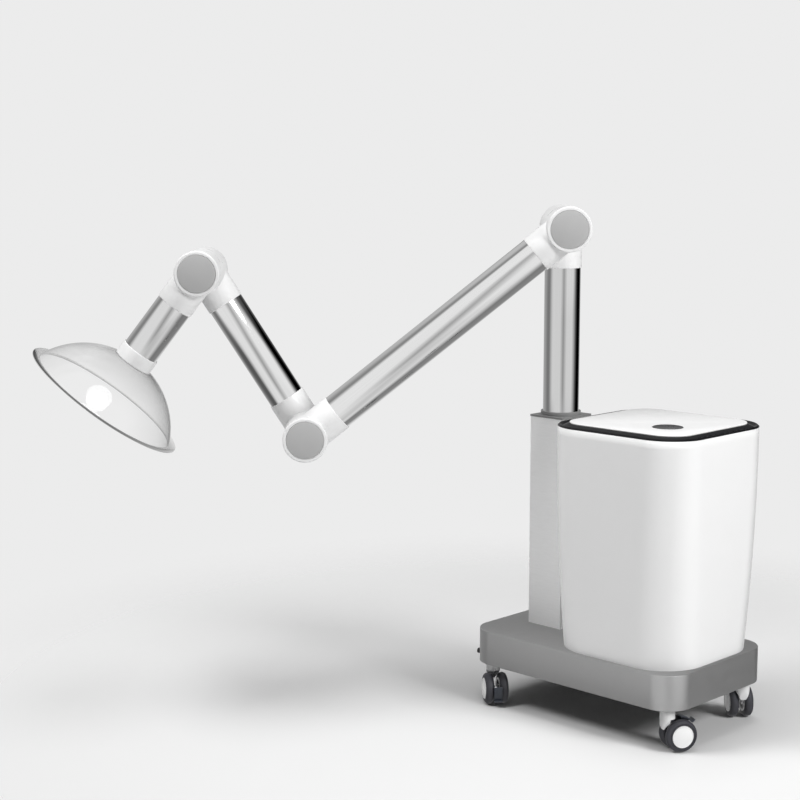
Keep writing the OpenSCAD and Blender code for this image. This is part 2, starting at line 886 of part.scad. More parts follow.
// Lid: a flat plate on the rim's step, with a skirt inside it and a cup for the
// control button
module canister_lid() {
    low = lid_top - lid_t;
    skirt_half = lid_half - skirt_t - 2*run_gap;
    skirt_corner = lid_corner - skirt_t - 2*run_gap;
    cup_r = button_r + run_gap + skirt_t;
    color("white") translate([canister_x, 0, 0]) difference() {
        union() {
            ring_loft([
                ring_points(skirt_half - skirt_t, skirt_half - skirt_t,
                            skirt_corner - skirt_t, low),
                ring_points(skirt_half - skirt_t, skirt_half - skirt_t,
                            skirt_corner - skirt_t, low - skirt_h),
                ring_points(skirt_half, skirt_half, skirt_corner, low - skirt_h),
                ring_points(skirt_half, skirt_half, skirt_corner, low),
                ring_points(lid_half, lid_half, lid_corner, low),
                ring_points(lid_half, lid_half, lid_corner, lid_top - lid_edge),
                ring_points(lid_half - lid_edge, lid_half - lid_edge,
                            lid_corner - lid_edge, lid_top)
            ]);
            translate([button_x, -button_y, low - skirt_h])
                cylinder(h = skirt_h + over, r = cup_r);
        }
        translate([button_x, -button_y, low - skirt_h + skirt_t])
            cylinder(h = skirt_h + lid_t, r = button_r + run_gap);
    }
}

// Control button: a dished disc with a foot that ends its travel in the cup
module control_button() {
    dish_r = (pow(button_r - button_edge, 2) + pow(button_dish, 2))/(2*button_dish);
    face = lid_top + button_dish;
    cup_floor = lid_top - lid_t - skirt_h + skirt_t;
    color("#2d2d2d") translate([canister_x + button_x, -button_y, 0]) difference() {
        union() {
            translate([0, 0, face - lid_t]) cylinder(h = lid_t, r = button_r);
            translate([0, 0, cup_floor + button_travel])
                cylinder(h = face - lid_t - cup_floor, r = button_r/2);
        }
        translate([0, 0, face + dish_r - button_dish]) sphere(dish_r, $fn = 2*$fn);
    }
}

// Particle filter: a frame on feet with a pleated pack
module particle_filter() {
    base = deck_top + canister_wall;
    size = 2*filter_half;
    pack = size - 2*filter_frame;
    pleats = floor(pack/2/pleat_pitch);
    color("ivory") translate([canister_x, 0, base]) difference() {
        linear_extrude(particle_h) rounded_rect(size, size, filter_corner);
        translate([0, 0, -over]) linear_extrude(filter_foot + over)
            rounded_rect(pack, pack, filter_corner - filter_frame);
        for (spot = [-pleats:pleats]) {
            translate([spot*pleat_pitch - pleat_w/2, -pack/2 + filter_corner/2, particle_h - pleat_depth])
                cube([pleat_w, pack - filter_corner, pleat_depth + over]);
            translate([spot*pleat_pitch - pleat_w/2, -pack/2 + filter_corner/2, filter_foot - over])
                cube([pleat_w, pack - filter_corner, pleat_depth + over]);
        }
    }
}

// Carbon filter: a box of granules with rows of air holes through it
module carbon_filter() {
    base = deck_top + canister_wall + particle_h;
    size = 2*filter_half;
    rows = floor((size/2 - filter_corner/2)/filter_hole_pitch);
    color("#303030") translate([canister_x, 0, base]) difference() {
        linear_extrude(carbon_h) rounded_rect(size, size, filter_corner);
        for (spot_x = [-rows:rows], spot_y = [-rows:rows])
            translate([spot_x*filter_hole_pitch, spot_y*filter_hole_pitch, -over])
                cylinder(h = carbon_h + 2*over, r = filter_hole_r);
    }
}

// Fan frame: a plate with an inlet nozzle on the shell's ledge, and a bridge on
// posts that carries the motor over the impeller
module fan_frame() {
    plate_half = canister_half(share_at(shelf_z)) - canister_wall - 2*run_gap;
    plate_corner = canister_corner(share_at(shelf_z)) - canister_wall;
    color("silver") translate([canister_x, 0, 0]) difference() {
        union() {
            translate([0, 0, shelf_z]) linear_extrude(fan_plate_t)
                rounded_rect(2*plate_half, 2*plate_half, plate_corner);
            translate([0, 0, shelf_z + fan_plate_t])
                cylinder(h = fan_nozzle_h, r = fan_inlet_r + fan_nozzle_t);
            for (side_x = [-1, 1], side_y = [-1, 1])
                rotate([0, 0, 45]) translate([side_x*fan_post_ring*(side_x*side_y + 1)/2,
                                              side_x*fan_post_ring*(1 - side_x*side_y)/2,
                                              shelf_z])
                    cylinder(h = bridge_z - shelf_z + fan_bridge_t, r = fan_post_r);
            for (turn = [45, 135])
                rotate([0, 0, turn])
                    translate([-fan_post_ring, -fan_bridge_w/2, bridge_z])
                        cube([2*fan_post_ring, fan_bridge_w, fan_bridge_t]);
            translate([0, 0, bridge_z]) cylinder(h = motor_h, r = motor_r);
        }
        translate([0, 0, shelf_z - over])
            cylinder(h = fan_plate_t + fan_nozzle_h + 2*over, r = fan_inlet_r);
        translate([0, 0, bridge_z - over]) cylinder(h = motor_h/2, r = shaft_r + run_gap);
    }
}

// Impeller: backward curved blades between a back plate and an inlet ring, on
// the motor's shaft
module impeller() {
    eye_r = fan_inlet_r + fan_nozzle_t + 2*impeller_gap;
    arc_r = impeller_r*blade_arc_share;
    hub_h = blade_h/2;
    blades_z = impeller_z + shroud_t;
    back_z = blades_z + blade_h;
    color("dimgray") translate([canister_x, 0, 0]) {
        translate([0, 0, impeller_z]) difference() {
            cylinder(h = shroud_t, r = impeller_r);
            translate([0, 0, -over]) cylinder(h = shroud_t + 2*over, r = eye_r);
        }
        translate([0, 0, blades_z]) linear_extrude(blade_h)
            for (blade = [0:blade_count - 1])
                rotate(blade*360/blade_count) intersection() {
                    difference() {
                        circle(impeller_r - blade_t/2);
                        circle(eye_r - blade_t);
                    }
                    translate([eye_r - blade_t, -arc_r]) difference() {
                        circle(arc_r);
                        circle(arc_r - blade_t);
                    }
                    translate([0, -arc_r*blade_arc_share]) square([impeller_r, arc_r]);
                }
        translate([0, 0, back_z]) cylinder(h = blade_back_t, r = impeller_r);
        translate([0, 0, back_z - hub_h]) cylinder(h = hub_h, r = 3*shaft_r);
        translate([0, 0, back_z]) cylinder(h = blade_back_t + motor_gap + motor_h/4, r = shaft_r);
    }
}

platform_housing();
chassis_plate();
air_duct();
power_inlet();
castor_stems();
castor_fork(0);  // castor_front_fork
castor_fork(1);  // castor_left_fork
castor_fork(2);  // castor_right_fork
castor_fork(3);  // castor_back_fork
castor_tyre(0, -1);  // castor_front_tyre_a
castor_tyre(0, 1);  // castor_front_tyre_b
castor_tyre(1, -1);  // castor_left_tyre_a
castor_tyre(1, 1);  // castor_left_tyre_b
castor_tyre(2, -1);  // castor_right_tyre_a
castor_tyre(2, 1);  // castor_right_tyre_b
castor_tyre(3, -1);  // castor_back_tyre_a
castor_tyre(3, 1);  // castor_back_tyre_b
castor_hub(0, -1);  // castor_front_hub_a
castor_hub(0, 1);  // castor_front_hub_b
castor_hub(1, -1);  // castor_left_hub_a
castor_hub(1, 1);  // castor_left_hub_b
castor_hub(2, -1);  // castor_right_hub_a
castor_hub(2, 1);  // castor_right_hub_b
castor_hub(3, -1);  // castor_back_hub_a
castor_hub(3, 1);  // castor_back_hub_b
castor_pedal(0, pedal_up);  // castor_front_pedal
castor_pedal(1, pedal_down);  // castor_left_pedal
column();
flange_plate();
swivel_bush();
post_tube();
at_shoulder() rear_half(-90);  // shoulder_rear_half
at_shoulder() front_half(-boom_fall);  // shoulder_front_half
at_shoulder() joint_cap();  // shoulder_rear_cap
at_shoulder() front_side() joint_cap();  // shoulder_front_cap
at_shoulder() joint_spindle();  // shoulder_spindle
boom_tube();
at_elbow() rear_half(forearm_rise);  // elbow_rear_half
at_elbow() front_half(180 - boom_fall);  // elbow_front_half
at_elbow() joint_cap();  // elbow_rear_cap
at_elbow() front_side() joint_cap();  // elbow_front_cap
at_elbow() joint_spindle();  // elbow_spindle
forearm_tube();
at_wrist() rear_half(180 + forearm_rise);  // wrist_rear_half
at_wrist() front_half(-hood_fall);  // wrist_front_half
at_wrist() joint_cap();  // wrist_rear_cap
at_wrist() front_side() joint_cap();  // wrist_front_cap
at_wrist() joint_spindle();  // wrist_spindle
hood_tube();
hood_collar();
hood_dome();
canister_shell();
canister_rim();
canister_lid();
control_button();
particle_filter();
carbon_filter();
fan_frame();
impeller();
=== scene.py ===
import json
from math import asin, cos, degrees, pi, radians, sin, sqrt

import bmesh
import bpy
from mathutils import Matrix, Vector


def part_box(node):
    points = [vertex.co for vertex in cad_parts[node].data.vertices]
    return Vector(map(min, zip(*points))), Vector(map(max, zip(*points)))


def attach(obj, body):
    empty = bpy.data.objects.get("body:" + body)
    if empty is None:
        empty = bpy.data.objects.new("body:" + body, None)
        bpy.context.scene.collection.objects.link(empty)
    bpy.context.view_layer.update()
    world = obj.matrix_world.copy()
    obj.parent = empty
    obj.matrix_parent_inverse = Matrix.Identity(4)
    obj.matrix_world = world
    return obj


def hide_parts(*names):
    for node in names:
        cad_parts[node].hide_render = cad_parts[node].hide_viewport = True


# A mobile fume extraction arm: a grey platform on castors, a white canister
# with a fan and filters, and a jointed aluminium arm with a clear hood.
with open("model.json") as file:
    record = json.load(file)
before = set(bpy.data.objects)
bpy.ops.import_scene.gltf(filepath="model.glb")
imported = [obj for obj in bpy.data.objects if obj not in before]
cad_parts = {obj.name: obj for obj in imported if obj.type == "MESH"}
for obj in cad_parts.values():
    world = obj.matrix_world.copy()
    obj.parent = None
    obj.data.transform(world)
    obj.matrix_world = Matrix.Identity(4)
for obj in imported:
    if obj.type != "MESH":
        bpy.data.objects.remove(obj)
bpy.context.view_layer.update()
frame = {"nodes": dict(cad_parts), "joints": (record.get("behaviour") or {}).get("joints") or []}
scene = bpy.context.scene
scene.view_settings.view_transform = "Standard"
joints = {joint["name"]: joint for joint in frame["joints"]}

# Camera: stands in front of the arm at the height of a seated person's eyes
# and looks down a little, so that the platform's two near sides show.
camera_data = bpy.data.cameras.new("camera")
camera_data.sensor_width = 36
camera_data.lens = 75.96
camera = bpy.data.objects.new("camera", camera_data)
camera.location = (2.22675, -2.75122, 1.1415)
camera.rotation_euler = (radians(81.879), 0, radians(44.487))
scene.collection.objects.link(camera)
scene.camera = camera


# Floor: a pale, slightly glossy sheet that fades into the backdrop's colour,
# so that no edge shows where the sheet ends.
def shader_node(material, kind, **values):
    """New node of that kind in a material, with the named inputs set"""
    node = material.node_tree.nodes.new(kind)
    for name, value in values.items():
        node.inputs[name.replace("_", " ")].default_value = value
    return node


pale = (0.838, 0.838, 0.838, 1)
floor_radius = 7.0
shape = bmesh.new()
bmesh.ops.create_circle(shape, cap_ends=True, segments=96, radius=floor_radius)
floor_mesh = bpy.data.meshes.new("floor")
shape.to_mesh(floor_mesh)
shape.free()
floor = bpy.data.objects.new("floor", floor_mesh)
scene.collection.objects.link(floor)
floor_paint = bpy.data.materials.new("floor_paint")
floor_paint.use_nodes = True
floor_links = floor_paint.node_tree.links
floor_paint.node_tree.nodes.remove(floor_paint.node_tree.nodes["Principled BSDF"])
floor_body = shader_node(floor_paint, "ShaderNodeBsdfDiffuse", Color=(0.70, 0.70, 0.70, 1))
floor_gloss = shader_node(floor_paint, "ShaderNodeBsdfGlossy", Roughness=0.1)
floor_spot = shader_node(floor_paint, "ShaderNodeTexCoord")
floor_reach = shader_node(floor_paint, "ShaderNodeVectorMath")
floor_reach.operation = "LENGTH"
floor_links.new(floor_spot.outputs["Object"], floor_reach.inputs[0])
floor_shine = shader_node(floor_paint, "ShaderNodeMapRange", From_Min=0.7, From_Max=1.3,
                          To_Min=0.02, To_Max=0.0)
floor_links.new(floor_reach.outputs["Value"], floor_shine.inputs["Value"])
floor_sheet = shader_node(floor_paint, "ShaderNodeMixShader")
floor_links.new(floor_shine.outputs["Result"], floor_sheet.inputs[0])
floor_links.new(floor_body.outputs[0], floor_sheet.inputs[1])
floor_links.new(floor_gloss.outputs[0], floor_sheet.inputs[2])
floor_fade = shader_node(floor_paint, "ShaderNodeMapRange", From_Min=0.6, From_Max=1.6)
floor_fade.interpolation_type = "SMOOTHSTEP"
floor_links.new(floor_reach.outputs["Value"], floor_fade.inputs["Value"])
floor_rays = shader_node(floor_paint, "ShaderNodeLightPath")
floor_looks = shader_node(floor_paint, "ShaderNodeMath")
floor_looks.operation = "MAXIMUM"
floor_links.new(floor_rays.outputs["Is Camera Ray"], floor_looks.inputs[0])
floor_links.new(floor_rays.outputs["Is Transmission Ray"], floor_looks.inputs[1])
floor_seen = shader_node(floor_paint, "ShaderNodeMath")
floor_seen.operation = "MULTIPLY"
floor_links.new(floor_fade.outputs["Result"], floor_seen.inputs[0])
floor_links.new(floor_looks.outputs[0], floor_seen.inputs[1])
floor_clear = shader_node(floor_paint, "ShaderNodeBsdfTransparent")
floor_mix = shader_node(floor_paint, "ShaderNodeMixShader")
floor_links.new(floor_seen.outputs[0], floor_mix.inputs[0])
floor_links.new(floor_sheet.outputs[0], floor_mix.inputs[1])
floor_links.new(floor_clear.outputs[0], floor_mix.inputs[2])
floor_links.new(floor_mix.outputs[0], floor_paint.node_tree.nodes["Material Output"].inputs["Surface"])
floor_mesh.materials.append(floor_paint)
floor.visible_glossy = False

# Backdrop: the world shows the pale studio wall to the camera and through the
# clear hood, and lights the object softly from high up. Metal and gloss mirror the
# studio's white walls and black curtains, four rings of them, and a round lamp.
backdrop = bpy.data.worlds.new("backdrop")
scene.world = backdrop
backdrop.use_nodes = True
backdrop_links = backdrop.node_tree.links
room_light = backdrop.node_tree.nodes["Background"]
room_light.inputs["Color"].default_value = (1, 1, 1, 1)
room_spot = shader_node(backdrop, "ShaderNodeTexCoord")
room_way = shader_node(backdrop, "ShaderNodeSeparateXYZ")
backdrop_links.new(room_spot.outputs["Generated"], room_way.inputs[0])
room_fall = shader_node(backdrop, "ShaderNodeMapRange", From_Min=0.5, From_Max=0.95,
                        To_Min=0.004, To_Max=0.55)
backdrop_links.new(room_way.outputs["Z"], room_fall.inputs["Value"])
backdrop_links.new(room_fall.outputs["Result"], room_light.inputs["Strength"])
room_turn = shader_node(backdrop, "ShaderNodeMath")
room_turn.operation = "ARCTAN2"
backdrop_links.new(room_way.outputs["Y"], room_turn.inputs[0])
backdrop_links.new(room_way.outputs["X"], room_turn.inputs[1])
room_share = shader_node(backdrop, "ShaderNodeMapRange", From_Min=-pi, From_Max=pi)
backdrop_links.new(room_turn.outputs[0], room_share.inputs["Value"])
# a ring is a row of turns in degrees, each with the wall's shade there
rings = []
for name, shades in (
    ("below", ((-180, 0.2), (-150, 0.1), (-122, 0.1), (-92, 0.75), (-60, 0.8), (-30, 0.55), (0, 0.7),
               (40, 0.2), (98, 0.25), (126, 0.8), (142, 0.45), (180, 0.2))),
    ("level", ((-180, 0.4), (-152, 0.22), (-138, 0.25), (-112, 0.8), (-62, 0.8), (-42, 0.35), (-20, 0.8),
               (16, 0.8), (45, 0.1), (58, 0), (88, 0), (128, 0.8), (142, 0.48), (180, 0.4))),
    ("raised", ((-180, 0.45), (-152, 0.25), (-138, 0.25), (-114, 0.8), (-60, 0.8), (-42, 0.4), (-20, 0.85),
                (22, 0.85), (46, 0.1), (58, 0), (88, 0), (136, 0.2), (148, 0.5), (180, 0.45))),
    ("above", ((-180, 0.5), (-152, 0.25), (-136, 0.25), (-114, 0.8), (0, 0.85), (50, 0.1), (85, 0.1),
               (126, 0.8), (145, 0.55), (180, 0.5))),
):
    ring = shader_node(backdrop, "ShaderNodeValToRGB")
    ring.label = name
    stops = ring.color_ramp.elements
    for turn, shade in shades:
        place = (turn + 180)/360
        stop = stops[0] if turn == -180 else stops[-1] if turn == 180 else stops.new(place)
        stop.position = place
        stop.color = (shade, shade, shade, 1)
    backdrop_links.new(room_share.outputs["Result"], ring.inputs["Fac"])
    rings.append(ring)
mirrored = rings[0].outputs["Color"]
for ring, low, high in ((rings[1], -0.55, -0.3), (rings[2], 0.03, 0.15), (rings[3], 0.5, 0.67)):
    rise = shader_node(backdrop, "ShaderNodeMapRange", From_Min=low, From_Max=high)
    backdrop_links.new(room_way.outputs["Z"], rise.inputs["Value"])
    blend = shader_node(backdrop, "ShaderNodeMix")
    blend.data_type = "RGBA"
    backdrop_links.new(rise.outputs["Result"], blend.inputs[0])
    backdrop_links.new(mirrored, blend.inputs[6])
    backdrop_links.new(ring.outputs["Color"], blend.inputs[7])
    mirrored = blend.outputs[2]
lamp_turn, lamp_rise = radians(-12), radians(43)
lamp_near = shader_node(backdrop, "ShaderNodeVectorMath")
lamp_near.operation = "DOT_PRODUCT"
lamp_near.inputs[1].default_value = (cos(lamp_turn)*cos(lamp_rise), sin(lamp_turn)*cos(lamp_rise),
                                     sin(lamp_rise))
backdrop_links.new(room_spot.outputs["Generated"], lamp_near.inputs[0])
lamp_disc = shader_node(backdrop, "ShaderNodeMapRange", From_Min=cos(radians(14)),
                        From_Max=cos(radians(13)))
backdrop_links.new(lamp_near.outputs["Value"], lamp_disc.inputs["Value"])
blend = shader_node(backdrop, "ShaderNodeMix")
blend.data_type = "RGBA"
blend.inputs[7].default_value = (5, 5, 5, 1)
backdrop_links.new(lamp_disc.outputs["Result"], blend.inputs[0])
backdrop_links.new(mirrored, blend.inputs[6])
mirrored = blend.outputs[2]
seen_rays = shader_node(backdrop, "ShaderNodeLightPath")
backdrop_out = room_light.outputs[0]
for kind in ("Is Glossy Ray", "Is Transmission Ray", "Is Camera Ray"):
    wall = shader_node(backdrop, "ShaderNodeBackground", Color=pale)
    if kind == "Is Glossy Ray":
        backdrop_links.new(mirrored, wall.inputs["Color"])
    choice = shader_node(backdrop, "ShaderNodeMixShader")
    backdrop_links.new(seen_rays.outputs[kind], choice.inputs[0])
    backdrop_links.new(backdrop_out, choice.inputs[1])
    backdrop_links.new(wall.outputs[0], choice.inputs[2])
    backdrop_out = choice.outputs[0]
backdrop_links.new(backdrop_out, backdrop.node_tree.nodes["World Output"].inputs["Surface"])

# Lamps: three large round soft boxes, high on the left and right of the object and
# above it. Metal mirrors the studio's walls in place of them.
for name, spot, aim_at, width, power in (
    ("left_box", (-1.3, -2.1, 3.5), (0, 0, 0.4), 1.5, 84),
    ("right_box", (3.8, 0.1, 2.6), (0.2, 0, 0.4), 1.6, 140),
    ("top_box", (0.2, -0.4, 4.2), (0.1, 0, 0.4), 2.0, 46),
):
    lamp_data = bpy.data.lights.new(name, "AREA")
    lamp_data.shape = "ELLIPSE"
    lamp_data.size = lamp_data.size_y = width
    lamp_data.energy = power
    lamp = bpy.data.objects.new(name, lamp_data)
    lamp.location = spot
    lamp.rotation_euler = (Vector(aim_at) - Vector(spot)).to_track_quat("-Z", "Y").to_euler()
    lamp.visible_glossy = False
    lamp.visible_transmission = False
    scene.collection.objects.link(lamp)


# Platform housing: one moulded grey tray, upside down, with a satin paint. The
# column and the canister stand on it and the chassis plate closes it below.
def moulded(name, colour, roughness, shade=0.05, grain=900.0, depth=0.00002, coat=0.0, metallic=0.0,
            shine=0.5):
    """Moulded plastic or paint: a cloudy shade, a fine grain and uneven gloss"""
    material = bpy.data.materials.new(name)
    material.use_nodes = True
    links = material.node_tree.links
    surface = material.node_tree.nodes["Principled BSDF"]
    surface.inputs["Metallic"].default_value = metallic
    surface.inputs["Specular IOR Level"].default_value = shine
    surface.inputs["Coat Weight"].default_value = coat
    surface.inputs["Coat Roughness"].default_value = 0.06
    place = shader_node(material, "ShaderNodeTexCoord")
    cloud = shader_node(material, "ShaderNodeTexNoise", Scale=14, Detail=6, Roughness=0.6)
    links.new(place.outputs["Object"], cloud.inputs["Vector"])
    tint = shader_node(material, "ShaderNodeMix")
    tint.data_type = "RGBA"
    tint.inputs[6].default_value = (*(tone*(1 - shade) for tone in colour), 1)
    tint.inputs[7].default_value = (*(min(1, tone*(1 + shade)) for tone in colour), 1)
    links.new(cloud.outputs["Fac"], tint.inputs[0])
    links.new(tint.outputs[2], surface.inputs["Base Color"])
    rubs = shader_node(material, "ShaderNodeTexNoise", Scale=38, Detail=8, Roughness=0.7)
    links.new(place.outputs["Object"], rubs.inputs["Vector"])
    gloss = shader_node(material, "ShaderNodeMapRange", From_Min=0.3, From_Max=0.7,
                        To_Min=roughness*0.85, To_Max=roughness*1.15)
    links.new(rubs.outputs["Fac"], gloss.inputs["Value"])
    links.new(gloss.outputs["Result"], surface.inputs["Roughness"])
    grains = shader_node(material, "ShaderNodeTexNoise", Scale=grain, Detail=3, Roughness=0.5)
    links.new(place.outputs["Object"], grains.inputs["Vector"])
    relief = shader_node(material, "ShaderNodeBump", Strength=0.6, Distance=depth)
    links.new(grains.outputs["Fac"], relief.inputs["Height"])
    links.new(relief.outputs["Normal"], surface.inputs["Normal"])
    return material


def add_rounded_face(shape, half_x, half_y, corner, height, steps=16):
    """Flat rounded rectangle at that height: a square face with cut corners"""
    corners = [shape.verts.new((side_x*half_x, side_y*half_y, height))
               for side_x, side_y in ((1, 1), (-1, 1), (-1, -1), (1, -1))]
    shape.faces.new(corners)
    known = set(shape.verts) - set(corners)
    bmesh.ops.bevel(shape, geom=corners, offset=corner, offset_type="OFFSET", segments=steps,
                    profile=0.5, affect="VERTICES", clamp_overlap=False, material=-1)
    ring = [vert for vert in shape.verts if vert not in known]
    return [face for face in shape.faces if all(vert in ring for vert in face.verts)][0]


def grow(shape, faces, way, keep=True):
    """Extrudes faces that way; kept, the first ones close the other side"""
    grown = bmesh.ops.extrude_face_region(shape, geom=faces, use_keep_orig=keep)
    bmesh.ops.translate(shape, vec=way,
                        verts=[part for part in grown["geom"] if isinstance(part, bmesh.types.BMVert)])


def round_edges(shape, width, segments=3, angle=30):
    """Rounds every edge that turns by more than that angle"""
    crisp = [edge for edge in shape.edges if edge.is_manifold and edge.calc_face_angle() > radians(angle)]
    bmesh.ops.bevel(shape, geom=crisp, offset=width, offset_type="OFFSET", segments=segments,
                    profile=0.5, affect="EDGES", clamp_overlap=True, material=-1)


def moved(shape, place):
    """The same shape, taken to that place"""
    bmesh.ops.transform(shape, matrix=place, verts=shape.verts)
    return shape


def finished(name, shape, material, place=Matrix.Identity(4), crisp=32):
    """Object of a shape, put in its place, with smooth shading up to that angle"""
    moved(shape, place)
    bmesh.ops.remove_doubles(shape, verts=shape.verts, dist=0.000001)
    bmesh.ops.recalc_face_normals(shape, faces=shape.faces)
    mesh = bpy.data.meshes.new(name)
    shape.to_mesh(mesh)
    shape.free()
    mesh.shade_smooth()
    mesh.set_sharp_from_angle(angle=radians(crisp))
    mesh.materials.append(material)
    piece = bpy.data.objects.new(name, mesh)
    piece.visible_glossy = name.startswith("castor")
    scene.collection.objects.link(piece)
    return piece


deck_low, deck_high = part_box("platform_housing")
deck_half = (deck_high - deck_low)/2
deck_mid = (deck_low + deck_high)/2
deck_corner = 0.056
deck_wall = 0.003
deck_paint = moulded("deck_paint", (0.51, 0.51, 0.51), 0.42, shade=0.02, grain=1400, depth=0.00001,
                     metallic=0.80)
shape = bmesh.new()
foot_face = add_rounded_face(shape, deck_half.x, deck_half.y, deck_corner, -deck_half.z, steps=24)
grow(shape, [foot_face], (0, 0, 2*deck_half.z))
bmesh.ops.recalc_face_normals(shape, faces=shape.faces)
round_edges(shape, 0.0012, angle=60)
underside = min(shape.faces, key=lambda face: face.calc_center_median().z)
bmesh.ops.inset_region(shape, faces=[underside], thickness=deck_wall, use_even_offset=True)
underside = min((face for face in shape.faces if len(face.verts) > 20),
                key=lambda face: face.calc_center_median().z)
grow(shape, [underside], (0, 0, 2*deck_half.z - deck_wall), keep=False)
deck = finished("platform_housing_shell", shape, deck_paint, Matrix.Translation(deck_mid))
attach(deck, "base")
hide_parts("platform_housing")


# Chassis plate and air duct: a black sheet steel plate that carries the castors,
# and a moulded duct on it from the column's foot to the canister's.
def dress(node, material):
    """Gives a CAD node its material"""
    for place in frame["nodes"][node].material_slots:
        place.material = material
    frame["nodes"][node].visible_glossy = False


dress("chassis_plate", moulded("chassis_paint", (0.035, 0.035, 0.037), 0.55, shade=0.12))
dress("air_duct", moulded("duct_moulding", (0.12, 0.12, 0.125), 0.5, shade=0.08))


# Power inlet: a black moulded gland in the platform's arm end, with a bore for
# a round cable, a rounded lip and a nut behind the wall.
def turned(profile, steps=96):
    """Outline of (radius, height) points, turned about Z"""
    shape = bmesh.new()
    points = [shape.verts.new((radius, 0, height)) for radius, height in profile]
    first = 1 if profile[0][0] == 0 else 0
    lines = [shape.edges.new((points[spot - 1], points[spot])) for spot in range(first, len(points))]
    bmesh.ops.spin(shape, geom=points + lines, cent=(0, 0, 0), axis=(0, 0, 1), angle=2*pi,
                   steps=steps, use_merge=True, use_duplicate=False)
    bmesh.ops.remove_doubles(shape, verts=shape.verts, dist=0.000001)
    bmesh.ops.dissolve_degenerate(shape, dist=0.000001, edges=shape.edges)
    bmesh.ops.recalc_face_normals(shape, faces=shape.faces)
    return shape


inlet_low, inlet_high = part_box("power_inlet")
inlet_radius = 0.0058
inlet_bore = 0.0032
inlet_length = inlet_high.x - inlet_low.x
inlet_black = moulded("inlet_black", (0.02, 0.02, 0.021), 0.35, shade=0.15)
shape = turned([(inlet_bore, 0), (0.009, 0), (0.009, 0.004), (inlet_radius, 0.004),
                (inlet_radius, inlet_length - 0.0045), (0.005, inlet_length - 0.004),
                (0.005, inlet_length - 0.003), (inlet_radius, inlet_length - 0.0025),
                (inlet_radius, inlet_length), (inlet_bore, inlet_length)], steps=64)
round_edges(shape, 0.0004, segments=2)
inlet_mid = (inlet_low + inlet_high)/2
inlet_place = Matrix.Translation((inlet_high.x, inlet_mid.y, inlet_mid.z))
inlet = finished("power_inlet_gland", shape, inlet_black, inlet_place @ Matrix.Rotation(radians(-90), 4, "Y"))
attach(inlet, "base")
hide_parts("power_inlet")

# Castor stems: bright zinc-plated steel pins with a round collar, each held in
# the chassis plate by a nut.
stem_zinc = moulded("stem_zinc", (0.62, 0.63, 0.64), 0.3, shade=0.08, metallic=1.0)
dress("castor_stems", stem_zinc)


# Castor forks: off-white moulded nylon. A round head turns on the stem, narrows
# in front of the wheels and runs down between them as a fin with a steel axle.
def carved(shape, tool, operation="DIFFERENCE"):
    """A shape cut by, or joined with, another closed shape"""
    parts = []
    for part in (shape, tool):
        mesh = bpy.data.meshes.new("blank")
        part.to_mesh(mesh)
        part.free()
        parts.append(bpy.data.objects.new("blank", mesh))
        scene.collection.objects.link(parts[-1])
    cut = parts[0].modifiers.new("cut", "BOOLEAN")
    cut.operation = operation
    cut.solver = "EXACT"
    cut.object = parts[1]
    result = bmesh.new()
    result.from_object(parts[0], bpy.context.evaluated_depsgraph_get())
    for part in parts:
        mesh = part.data
        bpy.data.objects.remove(part)
        bpy.data.meshes.remove(mesh)
    return result


def plate(outline, half, rounding=0.0):
    """Plate of an outline in X and Z, that thick to both sides of Y"""
    shape = bmesh.new()
    face = shape.faces.new([shape.verts.new((x, -half, z)) for x, z in outline])
    grow(shape, [face], (0, 2*half, 0))
    bmesh.ops.recalc_face_normals(shape, faces=shape.faces)
    if rounding:
        round_edges(shape, rounding, angle=50)
    return shape


def arc(middle, radius, start, end, steps):
    """Points of an arc, from one angle to another in degrees"""
    return [(middle[0] + radius*cos(radians(start + (end - start)*step/steps)),
             middle[1] + radius*sin(radians(start + (end - start)*step/steps)))
            for step in range(steps + 1)]


